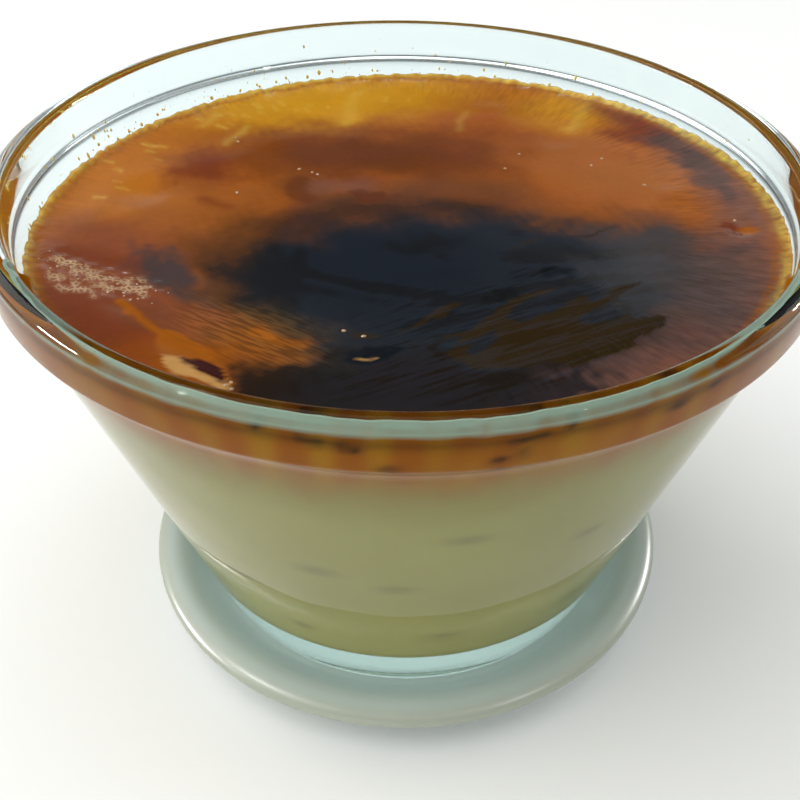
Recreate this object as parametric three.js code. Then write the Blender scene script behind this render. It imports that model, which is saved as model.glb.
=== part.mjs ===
// A glass cup of baked egg custard with a browned top, standing on a small saucer.
// Millimetres, +Z up. The origin is the middle of the saucer's foot, on the table.

import * as THREE from 'three';

// Driving dimensions, in millimetres unless the name says otherwise
const SECTORS = 80;
const ARC_STEPS = 4;
const EDGE_ARC_STEPS = 8;
const CLEARANCE = 0.3;

const SAUCER_RADIUS = 35.3;
const SAUCER_FLOOR_Z = 3.6;
const SAUCER_UNDERSIDE_Z = 1.5;
const SAUCER_WELL_RADIUS = 26.4;
const SAUCER_FOOT_INNER = 20.5;
const SAUCER_FOOT_OUTER = 23.6;
const SAUCER_FOOT_INNER_BEVEL = 1.2;
const SAUCER_FOOT_OUTER_BEVEL = 0.8;
const SAUCER_EDGE_Z = 5.8;
const SAUCER_EDGE_WIDTH = 2.4;
const SAUCER_EDGE_HALF_HEIGHT = 1.2;
const SAUCER_SLOPE_STEPS = 6;

const CUP_HEIGHT = 57.95;
const CUP_BASE_RADIUS = 27.4;
const CUP_BASE_CORNER = 1.2;
const CUP_FOOT_INNER = 21.5;
const CUP_PUNT_DEPTH = 0.9;
const CUP_PUNT_SLOPE = 3.0;
const CUP_FLOOR_Z = 6.9;
const CUP_INNER_CORNER = 2.4;
const WALL_SLOPE = 0.3257;
const WALL_THICKNESS_BASE = 2.3;
const WALL_THICKNESS_TOP = 1.7;
const RIM_OUTER_RADIUS = 46.0;
const RIM_BAND_HEIGHT = 5.55;
const RIM_BAND_ROUND = 0.9;
const RIM_BAND_OVERHANG = 0.4;
const LIP_CENTRE_RADIUS = 44.45;
const LIP_ROUND = 1.0;

const CUSTARD_RINGS = 24;
const CUSTARD_LEVEL = 51.4;
const CUSTARD_TILT_X = 0.018;
const CUSTARD_TILT_Y = -0.02;
const CUSTARD_SAG = 1.0;
const MENISCUS_HEIGHT = 0.45;
const MENISCUS_REACH = 1.6;

// The features of the browned skin, at their places on the surface
const FOAM_STRIP = { from: [-38.5, -11.8], to: [-26.5, -17.8], halfWidth: 2.6, height: 0.55 };
const FOLD_RIDGE = { from: [-29.5, -18.7], to: [-23.3, -24.3], halfWidth: 1.5, height: 0.7 };
const SKIN_BLISTER = { at: [-19.7, -27.0], radius: 3.6, height: 0.5 };
const SKIN_TEAR = { from: [-22.6, -28.8], to: [-15.4, -33.2], halfWidth: 1.5, depth: 1.5 };
const BURST_BUBBLE = { at: [37.4, -2.8], radius: 1.9, depth: 1.5, lip: 0.5 };
const WRINKLES = [
  { from: [2.0, -21.0], to: [17.0, -15.5], halfWidth: 1.7, height: 0.45 },
  { from: [4.0, -26.0], to: [21.0, -19.5], halfWidth: 1.6, height: 0.5 },
  { from: [9.0, -30.0], to: [26.0, -22.0], halfWidth: 1.7, height: 0.45 },
  { from: [12.0, -10.5], to: [27.0, -9.0], halfWidth: 2.0, height: 0.35 },
  { from: [20.0, -14.5], to: [31.0, -13.5], halfWidth: 1.7, height: 0.4 },
  { from: [-11.0, -14.0], to: [4.0, -18.5], halfWidth: 1.8, height: 0.35 },
  { from: [-8.0, -26.5], to: [-20.0, -20.5], halfWidth: 1.6, height: 0.3 },
];
const BACK_SWELLS = { count: 9, radius: 30.0, scatter: 3.0, halfWidth: 3.2, height: 0.3 };

// The cup's walls, as radius against height above the cup's own base

const BAND_FOOT_Z = CUP_HEIGHT - RIM_BAND_HEIGHT;

function outerWallRadius(z) {
  return CUP_BASE_RADIUS + WALL_SLOPE * z;
}

function innerWallRadius(z) {
  const up = (z - CUP_FLOOR_Z) / (BAND_FOOT_Z - CUP_FLOOR_Z);
  const thickness = THREE.MathUtils.lerp(WALL_THICKNESS_BASE, WALL_THICKNESS_TOP, up);
  return outerWallRadius(z) - thickness;
}

// An arc as profile points: centre, radii along the two axes, angles in degrees
function arcPoints(centre, radii, fromDegrees, toDegrees, steps) {
  const points = [];
  for (let i = 0; i <= steps; i += 1) {
    const angle = THREE.MathUtils.degToRad(THREE.MathUtils.lerp(fromDegrees, toDegrees, i / steps));
    points.push(new THREE.Vector2(
      centre[0] + radii[0] * Math.cos(angle),
      centre[1] + radii[1] * Math.sin(angle),
    ));
  }
  return points;
}

// A closed solid turned round the Z axis from a profile that starts and ends on that axis
function turnedSolid(profile) {
  const geometry = new THREE.LatheGeometry(profile, SECTORS);
  geometry.rotateX(Math.PI / 2);
  return geometry;
}

// The saucer: a foot ring, a shallow well that the cup stands in, and a rounded edge

function saucerSlope(edgeR, edgeTopZ) {
  const points = [];
  for (let i = 1; i <= SAUCER_SLOPE_STEPS; i += 1) {
    const inward = i / SAUCER_SLOPE_STEPS;
    const fall = (1 - Math.cos(Math.PI * inward)) / 2;
    points.push(new THREE.Vector2(
      THREE.MathUtils.lerp(edgeR, SAUCER_WELL_RADIUS, inward),
      THREE.MathUtils.lerp(edgeTopZ, SAUCER_FLOOR_Z, fall),
    ));
  }
  return points;
}

function saucerGeometry() {
  const edgeR = SAUCER_RADIUS - SAUCER_EDGE_WIDTH;
  const edgeRadii = [SAUCER_EDGE_WIDTH, SAUCER_EDGE_HALF_HEIGHT];
  return turnedSolid([
    new THREE.Vector2(0, SAUCER_UNDERSIDE_Z),
    new THREE.Vector2(SAUCER_FOOT_INNER - SAUCER_FOOT_INNER_BEVEL, SAUCER_UNDERSIDE_Z),
    new THREE.Vector2(SAUCER_FOOT_INNER, 0),
    new THREE.Vector2(SAUCER_FOOT_OUTER, 0),
    new THREE.Vector2(SAUCER_FOOT_OUTER + SAUCER_FOOT_OUTER_BEVEL, SAUCER_UNDERSIDE_Z),
    ...arcPoints([edgeR, SAUCER_EDGE_Z], edgeRadii, -80, 90, EDGE_ARC_STEPS),
    ...saucerSlope(edgeR, SAUCER_EDGE_Z + SAUCER_EDGE_HALF_HEIGHT),
    new THREE.Vector2(0, SAUCER_FLOOR_Z),
  ]);
}

// The glass cup: thick base, straight flared wall and a proud rounded band at the rim

function cupGeometry() {
  const baseCorner = [CUP_BASE_CORNER, CUP_BASE_CORNER];
  const bandRound = [RIM_BAND_ROUND, RIM_BAND_ROUND];
  const lipRound = [LIP_ROUND, LIP_ROUND];
  const innerCorner = [CUP_INNER_CORNER, CUP_INNER_CORNER];
  const innerCornerZ = CUP_FLOOR_Z + CUP_INNER_CORNER;
  const innerCornerR = innerWallRadius(innerCornerZ) - CUP_INNER_CORNER;
  const bandCentre = [RIM_OUTER_RADIUS - RIM_BAND_ROUND, BAND_FOOT_Z + RIM_BAND_ROUND];
  const wallTopZ = BAND_FOOT_Z - RIM_BAND_OVERHANG;
  return turnedSolid([
    new THREE.Vector2(0, CUP_PUNT_DEPTH),
    new THREE.Vector2(CUP_FOOT_INNER - CUP_PUNT_SLOPE, CUP_PUNT_DEPTH),
    new THREE.Vector2(CUP_FOOT_INNER, 0),
    ...arcPoints([CUP_BASE_RADIUS - CUP_BASE_CORNER, CUP_BASE_CORNER], baseCorner, -90, -15, ARC_STEPS),
    new THREE.Vector2(outerWallRadius(wallTopZ), wallTopZ),
    ...arcPoints(bandCentre, bandRound, -80, 0, ARC_STEPS),
    ...arcPoints([LIP_CENTRE_RADIUS, CUP_HEIGHT - LIP_ROUND], lipRound, 8, 172, EDGE_ARC_STEPS),
    new THREE.Vector2(innerWallRadius(BAND_FOOT_Z), BAND_FOOT_Z),
    ...arcPoints([innerCornerR, innerCornerZ], innerCorner, -8, -90, ARC_STEPS),
    new THREE.Vector2(0, CUP_FLOOR_Z),
  ]);
}

// Relief of the browned skin, in millimetres above the custard's level

function distanceToSegment(x, y, from, to) {
  const dx = to[0] - from[0];
  const dy = to[1] - from[1];
  const along = ((x - from[0]) * dx + (y - from[1]) * dy) / (dx * dx + dy * dy);
  const held = THREE.MathUtils.clamp(along, 0, 1);
  return Math.hypot(x - from[0] - held * dx, y - from[1] - held * dy);
}

function bell(distance, halfWidth) {
  return Math.exp(-((distance / halfWidth) ** 2));
}

function foldHeight(x, y, fold) {
  return fold.height * bell(distanceToSegment(x, y, fold.from, fold.to), fold.halfWidth);
}

// The foam strip swells and dips along two crossing waves, as a row of bubbles does
function foamHeight(x, y) {
  const bubbles = Math.sin(1.9 * x + 0.6 * y) * Math.sin(2.3 * y - 0.8 * x);
  return (0.7 + 0.3 * bubbles) * foldHeight(x, y, FOAM_STRIP);
}

function blisterHeight(x, y) {
  const distance = Math.hypot(x - SKIN_BLISTER.at[0], y - SKIN_BLISTER.at[1]);
  return SKIN_BLISTER.height * bell(distance, SKIN_BLISTER.radius);
}

function tearHeight(x, y) {
  return -SKIN_TEAR.depth * bell(distanceToSegment(x, y, SKIN_TEAR.from, SKIN_TEAR.to), SKIN_TEAR.halfWidth);
}

function burstHeight(x, y) {
  const distance = Math.hypot(x - BURST_BUBBLE.at[0], y - BURST_BUBBLE.at[1]);
  const pit = -BURST_BUBBLE.depth * bell(distance, BURST_BUBBLE.radius * 0.8);
  const lip = BURST_BUBBLE.lip * bell(distance - BURST_BUBBLE.radius * 1.3, BURST_BUBBLE.radius * 0.5);
  return pit + lip;
}

// Low swells stand round the back half, each at its own radius, some raised and some sunk
function backSwellHeight(x, y) {
  let height = 0;
  for (let i = 0; i < BACK_SWELLS.count; i += 1) {
    const angle = (Math.PI * (i + 0.5)) / BACK_SWELLS.count;
    const swellR = BACK_SWELLS.radius + BACK_SWELLS.scatter * Math.sin(5 * i);
    const distance = Math.hypot(x - swellR * Math.cos(angle), y - swellR * Math.sin(angle));
    height += BACK_SWELLS.height * Math.cos(2 * i) * bell(distance, BACK_SWELLS.halfWidth);
  }
  return height;
}

function tiltHeight(x, y) {
  return CUSTARD_TILT_X * x + CUSTARD_TILT_Y * y;
}

function skinHeight(x, y, edgeRadius) {
  const radius = Math.min(Math.hypot(x, y), edgeRadius);
  const sag = -CUSTARD_SAG * (1 - (radius / edgeRadius) ** 2);
  const meniscus = MENISCUS_HEIGHT * Math.exp(-(edgeRadius - radius) / MENISCUS_REACH);
  const wrinkles = WRINKLES.reduce((sum, fold) => sum + foldHeight(x, y, fold), 0);
  const marks = foamHeight(x, y) + blisterHeight(x, y) + tearHeight(x, y) + burstHeight(x, y);
  const swells = foldHeight(x, y, FOLD_RIDGE) + backSwellHeight(x, y);
  return tiltHeight(x, y) + sag + meniscus + wrinkles + marks + swells;
}

// The custard: it fills the cup to its level, and its top carries the relief above

function custardGeometry() {
  const cornerZ = CUP_FLOOR_Z + CUP_INNER_CORNER;
  const cornerR = innerWallRadius(cornerZ) - CUP_INNER_CORNER;
  const cornerRound = [CUP_INNER_CORNER - CLEARANCE, CUP_INNER_CORNER - CLEARANCE];
  const edgeRadius = innerWallRadius(CUSTARD_LEVEL) - CLEARANCE;
  const profile = [
    new THREE.Vector2(0, CUP_FLOOR_Z + CLEARANCE),
    ...arcPoints([cornerR, cornerZ], cornerRound, -90, -8, ARC_STEPS),
    new THREE.Vector2(edgeRadius, CUSTARD_LEVEL),
  ];
  const topStart = profile.length - 1;
  for (let ring = CUSTARD_RINGS - 1; ring >= 0; ring -= 1) {
    profile.push(new THREE.Vector2((edgeRadius * ring) / CUSTARD_RINGS, CUSTARD_LEVEL));
  }
  const geometry = turnedSolid(profile);
  const position = geometry.attributes.position;
  for (let i = 0; i < position.count; i += 1) {
    if (i % profile.length >= topStart) {
      const x = position.getX(i);
      const y = position.getY(i);
      const edgeLevel = CUSTARD_LEVEL + tiltHeight(x, y) + MENISCUS_HEIGHT;
      const spread = (innerWallRadius(edgeLevel) - CLEARANCE) / edgeRadius;
      position.setXYZ(i, x * spread, y * spread, CUSTARD_LEVEL + skinHeight(x, y, edgeRadius));
    }
  }
  geometry.computeVertexNormals();
  return geometry;
}

// Finishes

const glazeMaterial = new THREE.MeshStandardMaterial({ color: 0xc3cec4, roughness: 0.2, metalness: 0 });

const glassMaterial = new THREE.MeshStandardMaterial({
  color: 0xcfe0dc,
  roughness: 0.05,
  metalness: 0,
  transparent: true,
  opacity: 0.35,
});

const custardMaterial = new THREE.MeshStandardMaterial({ color: 0xb5761f, roughness: 0.3, metalness: 0 });

// The assembly: the saucer on the table, the cup in its well, the custard in the cup

function namedMesh(name, geometry, material) {
  const mesh = new THREE.Mesh(geometry, material);
  mesh.name = name;
  return mesh;
}

const servedCustard = new THREE.Group();
servedCustard.add(namedMesh('saucer', saucerGeometry(), glazeMaterial));

const filledCup = new THREE.Group();
filledCup.position.z = SAUCER_FLOOR_Z + CLEARANCE;
filledCup.add(namedMesh('glass_cup', cupGeometry(), glassMaterial));
filledCup.add(namedMesh('custard', custardGeometry(), custardMaterial));
servedCustard.add(filledCup);

export default servedCustard;
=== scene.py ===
"""The looks of a baked egg custard in its glass cup, on a small glazed saucer.

Lengths in this file are millimetres, angles are degrees and colours are display colours, unless a name
says otherwise. Meshes are turned into metres when they are made.
"""

import logging
from dataclasses import dataclass, field
from enum import Enum

import bpy
import numpy as np
from mathutils import Matrix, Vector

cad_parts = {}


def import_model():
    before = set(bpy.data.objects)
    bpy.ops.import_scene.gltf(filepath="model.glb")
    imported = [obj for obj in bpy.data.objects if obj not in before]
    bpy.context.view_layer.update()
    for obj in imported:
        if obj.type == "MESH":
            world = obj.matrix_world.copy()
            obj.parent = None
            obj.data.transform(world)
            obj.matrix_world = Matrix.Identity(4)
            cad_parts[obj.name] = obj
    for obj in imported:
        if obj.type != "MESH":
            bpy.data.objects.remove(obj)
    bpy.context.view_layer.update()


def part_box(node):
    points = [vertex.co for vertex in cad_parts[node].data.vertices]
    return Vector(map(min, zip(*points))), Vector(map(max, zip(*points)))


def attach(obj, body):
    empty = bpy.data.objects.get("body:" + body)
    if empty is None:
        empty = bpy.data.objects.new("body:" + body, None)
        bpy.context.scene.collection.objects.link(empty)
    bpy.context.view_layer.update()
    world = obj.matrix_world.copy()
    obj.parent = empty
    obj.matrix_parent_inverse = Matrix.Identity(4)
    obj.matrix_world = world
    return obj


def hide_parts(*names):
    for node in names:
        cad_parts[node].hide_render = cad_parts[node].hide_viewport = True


MM = 0.001
BODY = "root"
Point = tuple[float, float]
Triple = tuple[float, float, float]
Layer = tuple[float, float, int]  # a ripple's height, length and seed
Array = np.ndarray
WAVE_SPREAD: Point = (0.67, 1.5)  # a ripple's shortest and longest wave, as shares of its length
log = logging.getLogger("custard")


class Tone(Enum):
    """The tones of the baked custard and of the other finishes, as display colours."""

    PALE_GOLD = "D0B44C"
    GOLD = "BC840C"
    HONEY = "AE6618"
    AMBER = "944C06"
    CARAMEL = "8A4A0A"
    SALMON = "985824"
    UMBER = "5A2A06"
    CHESTNUT = "52341C"
    RUST = "6C2C10"
    RUSSET = "7C422A"
    PLUM = "443634"
    MAUVE = "6E4A3C"
    SLATE = "0C0E12"
    # The next two are painted sheen: the dark pool's blue-grey and grey reflections laid into its colour.
    PAINTED_SHEEN_DARK = "1C2024"
    PAINTED_SHEEN_GREY = "3A3838"
    COFFEE = "26170F"
    INK = "0A0908"
    BARK = "1C140E"
    OLIVE = "2A1E0A"
    TAN = "B88A50"
    GARNET = "340602"
    ORANGE = "94500A"
    BAND = "8A4A00"
    BAND_LIGHT = "966208"
    FOAM = "AE8E6A"
    CREAM = "928B50"
    LIP_FILM = "8E9E8E"
    # Painted light: pale blue-grey on the custard's underside, seen through the glass base.
    PAINTED_BASE_LIGHT = "C8D2CE"
    CREAM_SHADE = "726B34"
    CREAM_BROWN = "7A6220"

    def linear(self) -> Triple:
        """The tone as linear light, by the usual display curve.

        Returns:
            Red, green and blue.
        """
        display = np.array([int(self.value[i:i + 2], 16) for i in (0, 2, 4)]) / 255
        light = np.where(display <= 0.04045, display / 12.92, ((display + 0.055) / 1.055) ** 2.4)
        return tuple(float(v) for v in light)


# Shapes as arrays


def smooth_step(low: float, high: float, value: Array) -> Array:
    """Rises from 0 at low to 1 at high along the curve 3t squared minus 2t cubed."""
    t = np.clip((value - low) / (high - low), 0, 1)
    return t * t * (3 - 2 * t)


def bell(distance: Array, half_width: float) -> Array:
    """A bell curve: e to the power of minus the squared share of the half width."""
    return np.exp(-((distance / half_width) ** 2))


def segment_distance(x: Array, y: Array, start: Point, end: Point) -> Array:
    """Distance of each point to a straight stretch.

    Args:
        x: The points' x.
        y: The points' y.
        start: Where the stretch starts.
        end: Where it ends.

    Returns:
        The distance to the nearest point between start and end.
    """
    dx, dy = end[0] - start[0], end[1] - start[1]
    along = np.clip(((x - start[0]) * dx + (y - start[1]) * dy) / (dx * dx + dy * dy), 0, 1)
    return np.hypot(x - start[0] - along * dx, y - start[1] - along * dy)


def ripple(x: Array, y: Array, length: float, seed: int, waves: int = 14) -> Array:
    """Smooth chance relief between about -1 and 1.

    The value is a sum of plane waves with random directions, lengths and phases. Their lengths lie between
    two thirds of the middle one and one and a half times it.

    Args:
        x: The points' x.
        y: The points' y.
        length: The middle wave length.
        seed: Seeds the directions, lengths and phases.
        waves: How many waves are summed.

    Returns:
        The summed waves, divided by the root of their number.
    """
    draw = np.random.default_rng(seed)
    turn = draw.uniform(0, 2 * np.pi, waves)
    pitch = 2 * np.pi / (length * draw.uniform(*WAVE_SPREAD, waves))
    phase = draw.uniform(0, 2 * np.pi, waves)
    total = np.zeros_like(x, dtype=float)
    for angle, rate, start in zip(turn, pitch, phase):
        total += np.sin(rate * (np.cos(angle) * x + np.sin(angle) * y) + start)
    return total / np.sqrt(waves)


def ripples(x: Array, y: Array, layers: tuple[Layer, ...]) -> Array:
    """Ripples summed, one for each layer's height, length and seed."""
    return sum(height * ripple(x, y, length, seed) for height, length, seed in layers)


def arc(centre: Point, radii: Point, start: float, end: float, steps: int) -> Array:
    """An arc of an ellipse as profile points.

    Args:
        centre: Radius and height of the ellipse's middle.
        radii: Its half width and half height.
        start: First angle.
        end: Last angle.
        steps: How many equal steps lie between them.

    Returns:
        An array of radius and height, one row for each point.
    """
    angle = np.radians(np.linspace(start, end, steps + 1))
    return np.column_stack([centre[0] + radii[0] * np.cos(angle), centre[1] + radii[1] * np.sin(angle)])


def ring_faces(rows: int, sectors: int) -> tuple[Array, Array]:
    """The faces of a closed skin made of rings, with a fan to a pole at each end.

    Vertex j of ring i has the number i times sectors plus j. The first ring's pole comes right after the
    rings, and then the last ring's.

    Args:
        rows: How many rings there are.
        sectors: Vertices in each ring.

    Returns:
        Quads between the rings and triangles at the poles, all pointing out.
    """
    here = np.arange(rows * sectors).reshape(rows, sectors)
    beside = np.roll(here, -1, axis=1)
    quads = np.stack([here[:-1], beside[:-1], beside[1:], here[1:]], axis=-1).reshape(-1, 4)
    low = np.column_stack([np.full(sectors, rows * sectors), beside[0], here[0]])
    high = np.column_stack([np.full(sectors, rows * sectors + 1), here[-1], beside[-1]])
    return quads, np.concatenate([low, high])


def turned_grid(profile: Array, sectors: int) -> tuple[Array, Array, Array]:
    """A profile from axis to axis turned round Z.

    Point (i, j) stands at the i-th profile point, turned by j parts of a full turn. The first and the
    last profile point lie on the axis and are one vertex each.

    Args:
        profile: Radius and height, from the bottom of the axis outwards, up and back to the axis.
        sectors: Parts of the full turn.

    Returns:
        Vertices, quads and triangles, with the faces pointing out.
    """
    angle = 2 * np.pi * np.arange(sectors) / sectors
    ring_r, ring_z = profile[1:-1, 0], profile[1:-1, 1]
    rings = np.stack([
        np.outer(ring_r, np.cos(angle)),
        np.outer(ring_r, np.sin(angle)),
        np.repeat(ring_z[:, None], sectors, axis=1),
    ], axis=-1)
    poles = np.array([[0, 0, profile[0, 1]], [0, 0, profile[-1, 1]]])
    vertices = np.concatenate([rings.reshape(-1, 3), poles])
    return vertices, *ring_faces(len(ring_r), sectors)


def mesh_piece(
    name: str,
    vertices: Array,
    quads: Array,
    triangles: Array,
    crease: float = 60.0,
    finish: Array | None = None,
) -> bpy.types.Object:
    """Makes a smooth-shaded mesh object at the origin.

    Args:
        name: The piece's name.
        vertices: Points in millimetres.
        quads: Faces with four corners.
        triangles: Faces with three corners.
        crease: Edges that bend by more than this stay sharp.
        finish: The number of each face's material, quads first; all 0 if it isn't given.

    Returns:
        The new object.
    """
    mesh = bpy.data.meshes.new(name)
    mesh.vertices.add(len(vertices))
    mesh.vertices.foreach_set("co", (vertices * MM).astype(np.float32).ravel())
    corners = np.concatenate([quads.ravel(), triangles.ravel()]).astype(np.int32)
    quad_starts = 4 * np.arange(len(quads))
    starts = np.concatenate([quad_starts, 4 * len(quads) + 3 * np.arange(len(triangles))]).astype(np.int32)
    mesh.loops.add(len(corners))
    mesh.loops.foreach_set("vertex_index", corners)
    mesh.polygons.add(len(starts))
    mesh.polygons.foreach_set("loop_start", starts)
    if finish is not None:
        mesh.polygons.foreach_set("material_index", finish.astype(np.int32))
    mesh.update(calc_edges=True)
    mesh.validate()
    mesh.shade_smooth()
    mesh.set_sharp_from_angle(angle=np.radians(crease))
    piece = bpy.data.objects.new(name, mesh)
    bpy.context.scene.collection.objects.link(piece)
    return piece


def paint(piece: bpy.types.Object, name: str, values: Array) -> None:
    """Stores one number or one colour for each vertex.

    Args:
        piece: The piece.
        name: The attribute's name, which its material reads.
        values: One number, or three numbers of linear light, for each vertex.
    """
    if values.ndim == 1:
        layer = piece.data.attributes.new(name, "FLOAT", "POINT")
        layer.data.foreach_set("value", values.astype(np.float32))
        return
    layer = piece.data.attributes.new(name, "FLOAT_COLOR", "POINT")
    rgba = np.concatenate([values, np.ones((len(values), 1))], axis=1)
    layer.data.foreach_set("color", rgba.astype(np.float32).ravel())


def over(color: Array, top: Array | Triple, share: Array) -> Array:
    """Colours with another one laid over them, by a share from 0, none of it, to 1."""
    return color * (1 - share[:, None]) + np.asarray(top) * share[:, None]


# Marks on the skin, which paint and relief share


@dataclass(frozen=True)
class Fold:
    """A raised or sunk stretch of skin."""

    start: Point
    end: Point
    half_width: float
    height: float

    def relief(self, x: Array, y: Array) -> Array:
        """Its height: a bell curve across the stretch."""
        return self.height * bell(segment_distance(x, y, self.start, self.end), self.half_width)


@dataclass(frozen=True)
class Blot:
    """A soft ellipse of one tone."""

    tone: Tone
    at: Point
    size: Point
    turn: float = 0.0
    soft: float = 0.6
    strength: float = 1.0

    def mask(self, x: Array, y: Array) -> Array:
        """How much each point takes the tone: 1 inside, falling smoothly across the ellipse's edge.

        Args:
            x: The points' x.
            y: The points' y.

        Returns:
            The shares.
        """
        angle = np.radians(self.turn)
        u = (x - self.at[0]) * np.cos(angle) + (y - self.at[1]) * np.sin(angle)
        v = (y - self.at[1]) * np.cos(angle) - (x - self.at[0]) * np.sin(angle)
        share = np.hypot(u / self.size[0], v / self.size[1])
        return self.strength * (1 - smooth_step(1 - self.soft, 1 + self.soft, share))


@dataclass(frozen=True)
class Stroke:
    """A soft stroke of one tone along a line of a few points."""

    tone: Tone
    line: tuple[Point, ...]
    half_width: float
    soft: float = 0.5
    strength: float = 1.0

    def mask(self, x: Array, y: Array) -> Array:
        """How much each point takes the tone, by its distance to the line.

        Args:
            x: The points' x.
            y: The points' y.

        Returns:
            The shares.
        """
        distance = np.full(x.shape, np.inf)
        for start, end in zip(self.line[:-1], self.line[1:]):
            distance = np.minimum(distance, segment_distance(x, y, start, end))
        near, far = self.half_width - self.soft, self.half_width + self.soft
        return self.strength * (1 - smooth_step(near, far, distance))


@dataclass(frozen=True)
class Shore:
    """A patch of one tone inside a closed outline of a few points."""

    tone: Tone
    outline: tuple[Point, ...]
    soft: float = 1.0
    strength: float = 1.0
    grow: float = 0.0

    def mask(self, x: Array, y: Array) -> Array:
        """How much each point takes the tone, by its signed distance to the outline.

        A point lies inside where a level line from it crosses the outline an odd number of times.

        Args:
            x: The points' x.
            y: The points' y.

        Returns:
            The shares.
        """
        distance = np.full(x.shape, np.inf)
        inside = np.zeros(x.shape, bool)
        for start, end in zip(self.outline, self.outline[1:] + self.outline[:1]):
            distance = np.minimum(distance, segment_distance(x, y, start, end))
            crosses = (start[1] > y) != (end[1] > y)
            rise = np.where(end[1] == start[1], 1e-9, end[1] - start[1])
            inside ^= crosses & (x < (end[0] - start[0]) * (y - start[1]) / rise + start[0])
        signed = np.where(inside, distance, -distance) + self.grow
        return self.strength * smooth_step(-self.soft, self.soft, signed)


# Materials


class Graph:
    """Adds and joins the nodes of one material or node group."""

    def __init__(self, tree: bpy.types.NodeTree) -> None:
        """Keeps the tree that the nodes go into."""
        self.tree = tree

    def fill(self, made: bpy.types.Node, sockets: dict) -> bpy.types.Node:
        """Gives a node its inputs.

        Args:
            made: The node.
            sockets: Input name or number to a value, or to an output that is linked to it.

        Returns:
            The node.
        """
        for name, value in sockets.items():
            if isinstance(value, bpy.types.NodeSocket):
                self.tree.links.new(value, made.inputs[name])
            else:
                made.inputs[name].default_value = value
        return made

    def node(self, kind: str, sockets: dict | None = None, **settings: object) -> bpy.types.Node:
        """Adds a node.

        Args:
            kind: The node's type name without its leading ShaderNode.
            sockets: Its inputs, as fill takes them.
            **settings: The node's own properties.

        Returns:
            The node.
        """
        made = self.tree.nodes.new("ShaderNode" + kind)
        for name, value in settings.items():
            setattr(made, name, value)
        return self.fill(made, sockets or {})

    def math(self, operation: str, first: object, second: object) -> bpy.types.NodeSocket:
        """The result of one operation on two numbers or outputs."""
        return self.node("Math", {0: first, 1: second}, operation=operation).outputs[0]

    def mix(self, share: object, first: object, second: object) -> bpy.types.NodeSocket:
        """Two colours mixed by a share from 0, the first, to 1."""
        return self.node("Mix", {0: share, 6: first, 7: second}, data_type="RGBA").outputs[2]

    def rerange(self, value: object, old: Point, new: Point) -> bpy.types.NodeSocket:
        """A value carried from one range to another and held inside it."""
        sockets = {0: value, 1: old[0], 2: old[1], 3: new[0], 4: new[1]}
        return self.node("MapRange", sockets).outputs[0]

    def attribute(self, name: str, output: str) -> bpy.types.NodeSocket:
        """An output of one of the mesh's attributes."""
        return self.node("Attribute", attribute_name=name).outputs[output]

    def scaled(self, vector: object, factor: object) -> bpy.types.NodeSocket:
        """A vector or a colour multiplied by a number."""
        return self.node("VectorMath", {0: vector, "Scale": factor}, operation="SCALE").outputs[0]

    def millimetres(self) -> bpy.types.NodeSocket:
        """The place on the object in millimetres."""
        return self.scaled(self.node("TexCoord").outputs["Object"], 1 / MM)

    def bump(self, height: object, relief: Point) -> bpy.types.NodeSocket:
        """A normal for a height, with relief's strength and its depth in millimetres."""
        sockets = {"Height": height, "Strength": relief[0], "Distance": relief[1] * MM}
        return self.node("Bump", sockets).outputs[0]

    def noise(self, place: object, size: float, detail: float, flat: bool = False) -> bpy.types.NodeSocket:
        """Chance values between 0 and 1, with grains of about the given size.

        Args:
            place: The place in millimetres.
            size: The grains' size.
            detail: How many finer layers are added.
            flat: Whether the height is left out, which is enough on a level face.

        Returns:
            The values.
        """
        sockets = {"Vector": place, "Scale": 1 / size, "Detail": detail}
        return self.node("TexNoise", sockets, noise_dimensions="2D" if flat else "3D").outputs[0]

    def stretched(self, place: object, turn: float, along: float) -> bpy.types.NodeSocket:
        """The place with one level direction drawn out, so that noise on it makes streaks.

        Args:
            place: The place in millimetres.
            turn: The streaks' direction, from the X axis.
            along: How many times longer than wide they are.

        Returns:
            The stretched place.
        """
        turned = self.node("Mapping", {"Vector": place, "Rotation": (0, 0, -np.radians(turn))})
        squeezed = {0: turned.outputs[0], 1: (1 / along, 1, 1)}
        return self.node("VectorMath", squeezed, operation="MULTIPLY").outputs[0]

    def group(self, tree: bpy.types.NodeTree, sockets: dict) -> bpy.types.Node:
        """Places a shared node group with its own values.

        Args:
            tree: The group.
            sockets: Its inputs, as fill takes them.

        Returns:
            The node.
        """
        made = self.tree.nodes.new("ShaderNodeGroup")
        made.node_tree = tree
        return self.fill(made, sockets)


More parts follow.
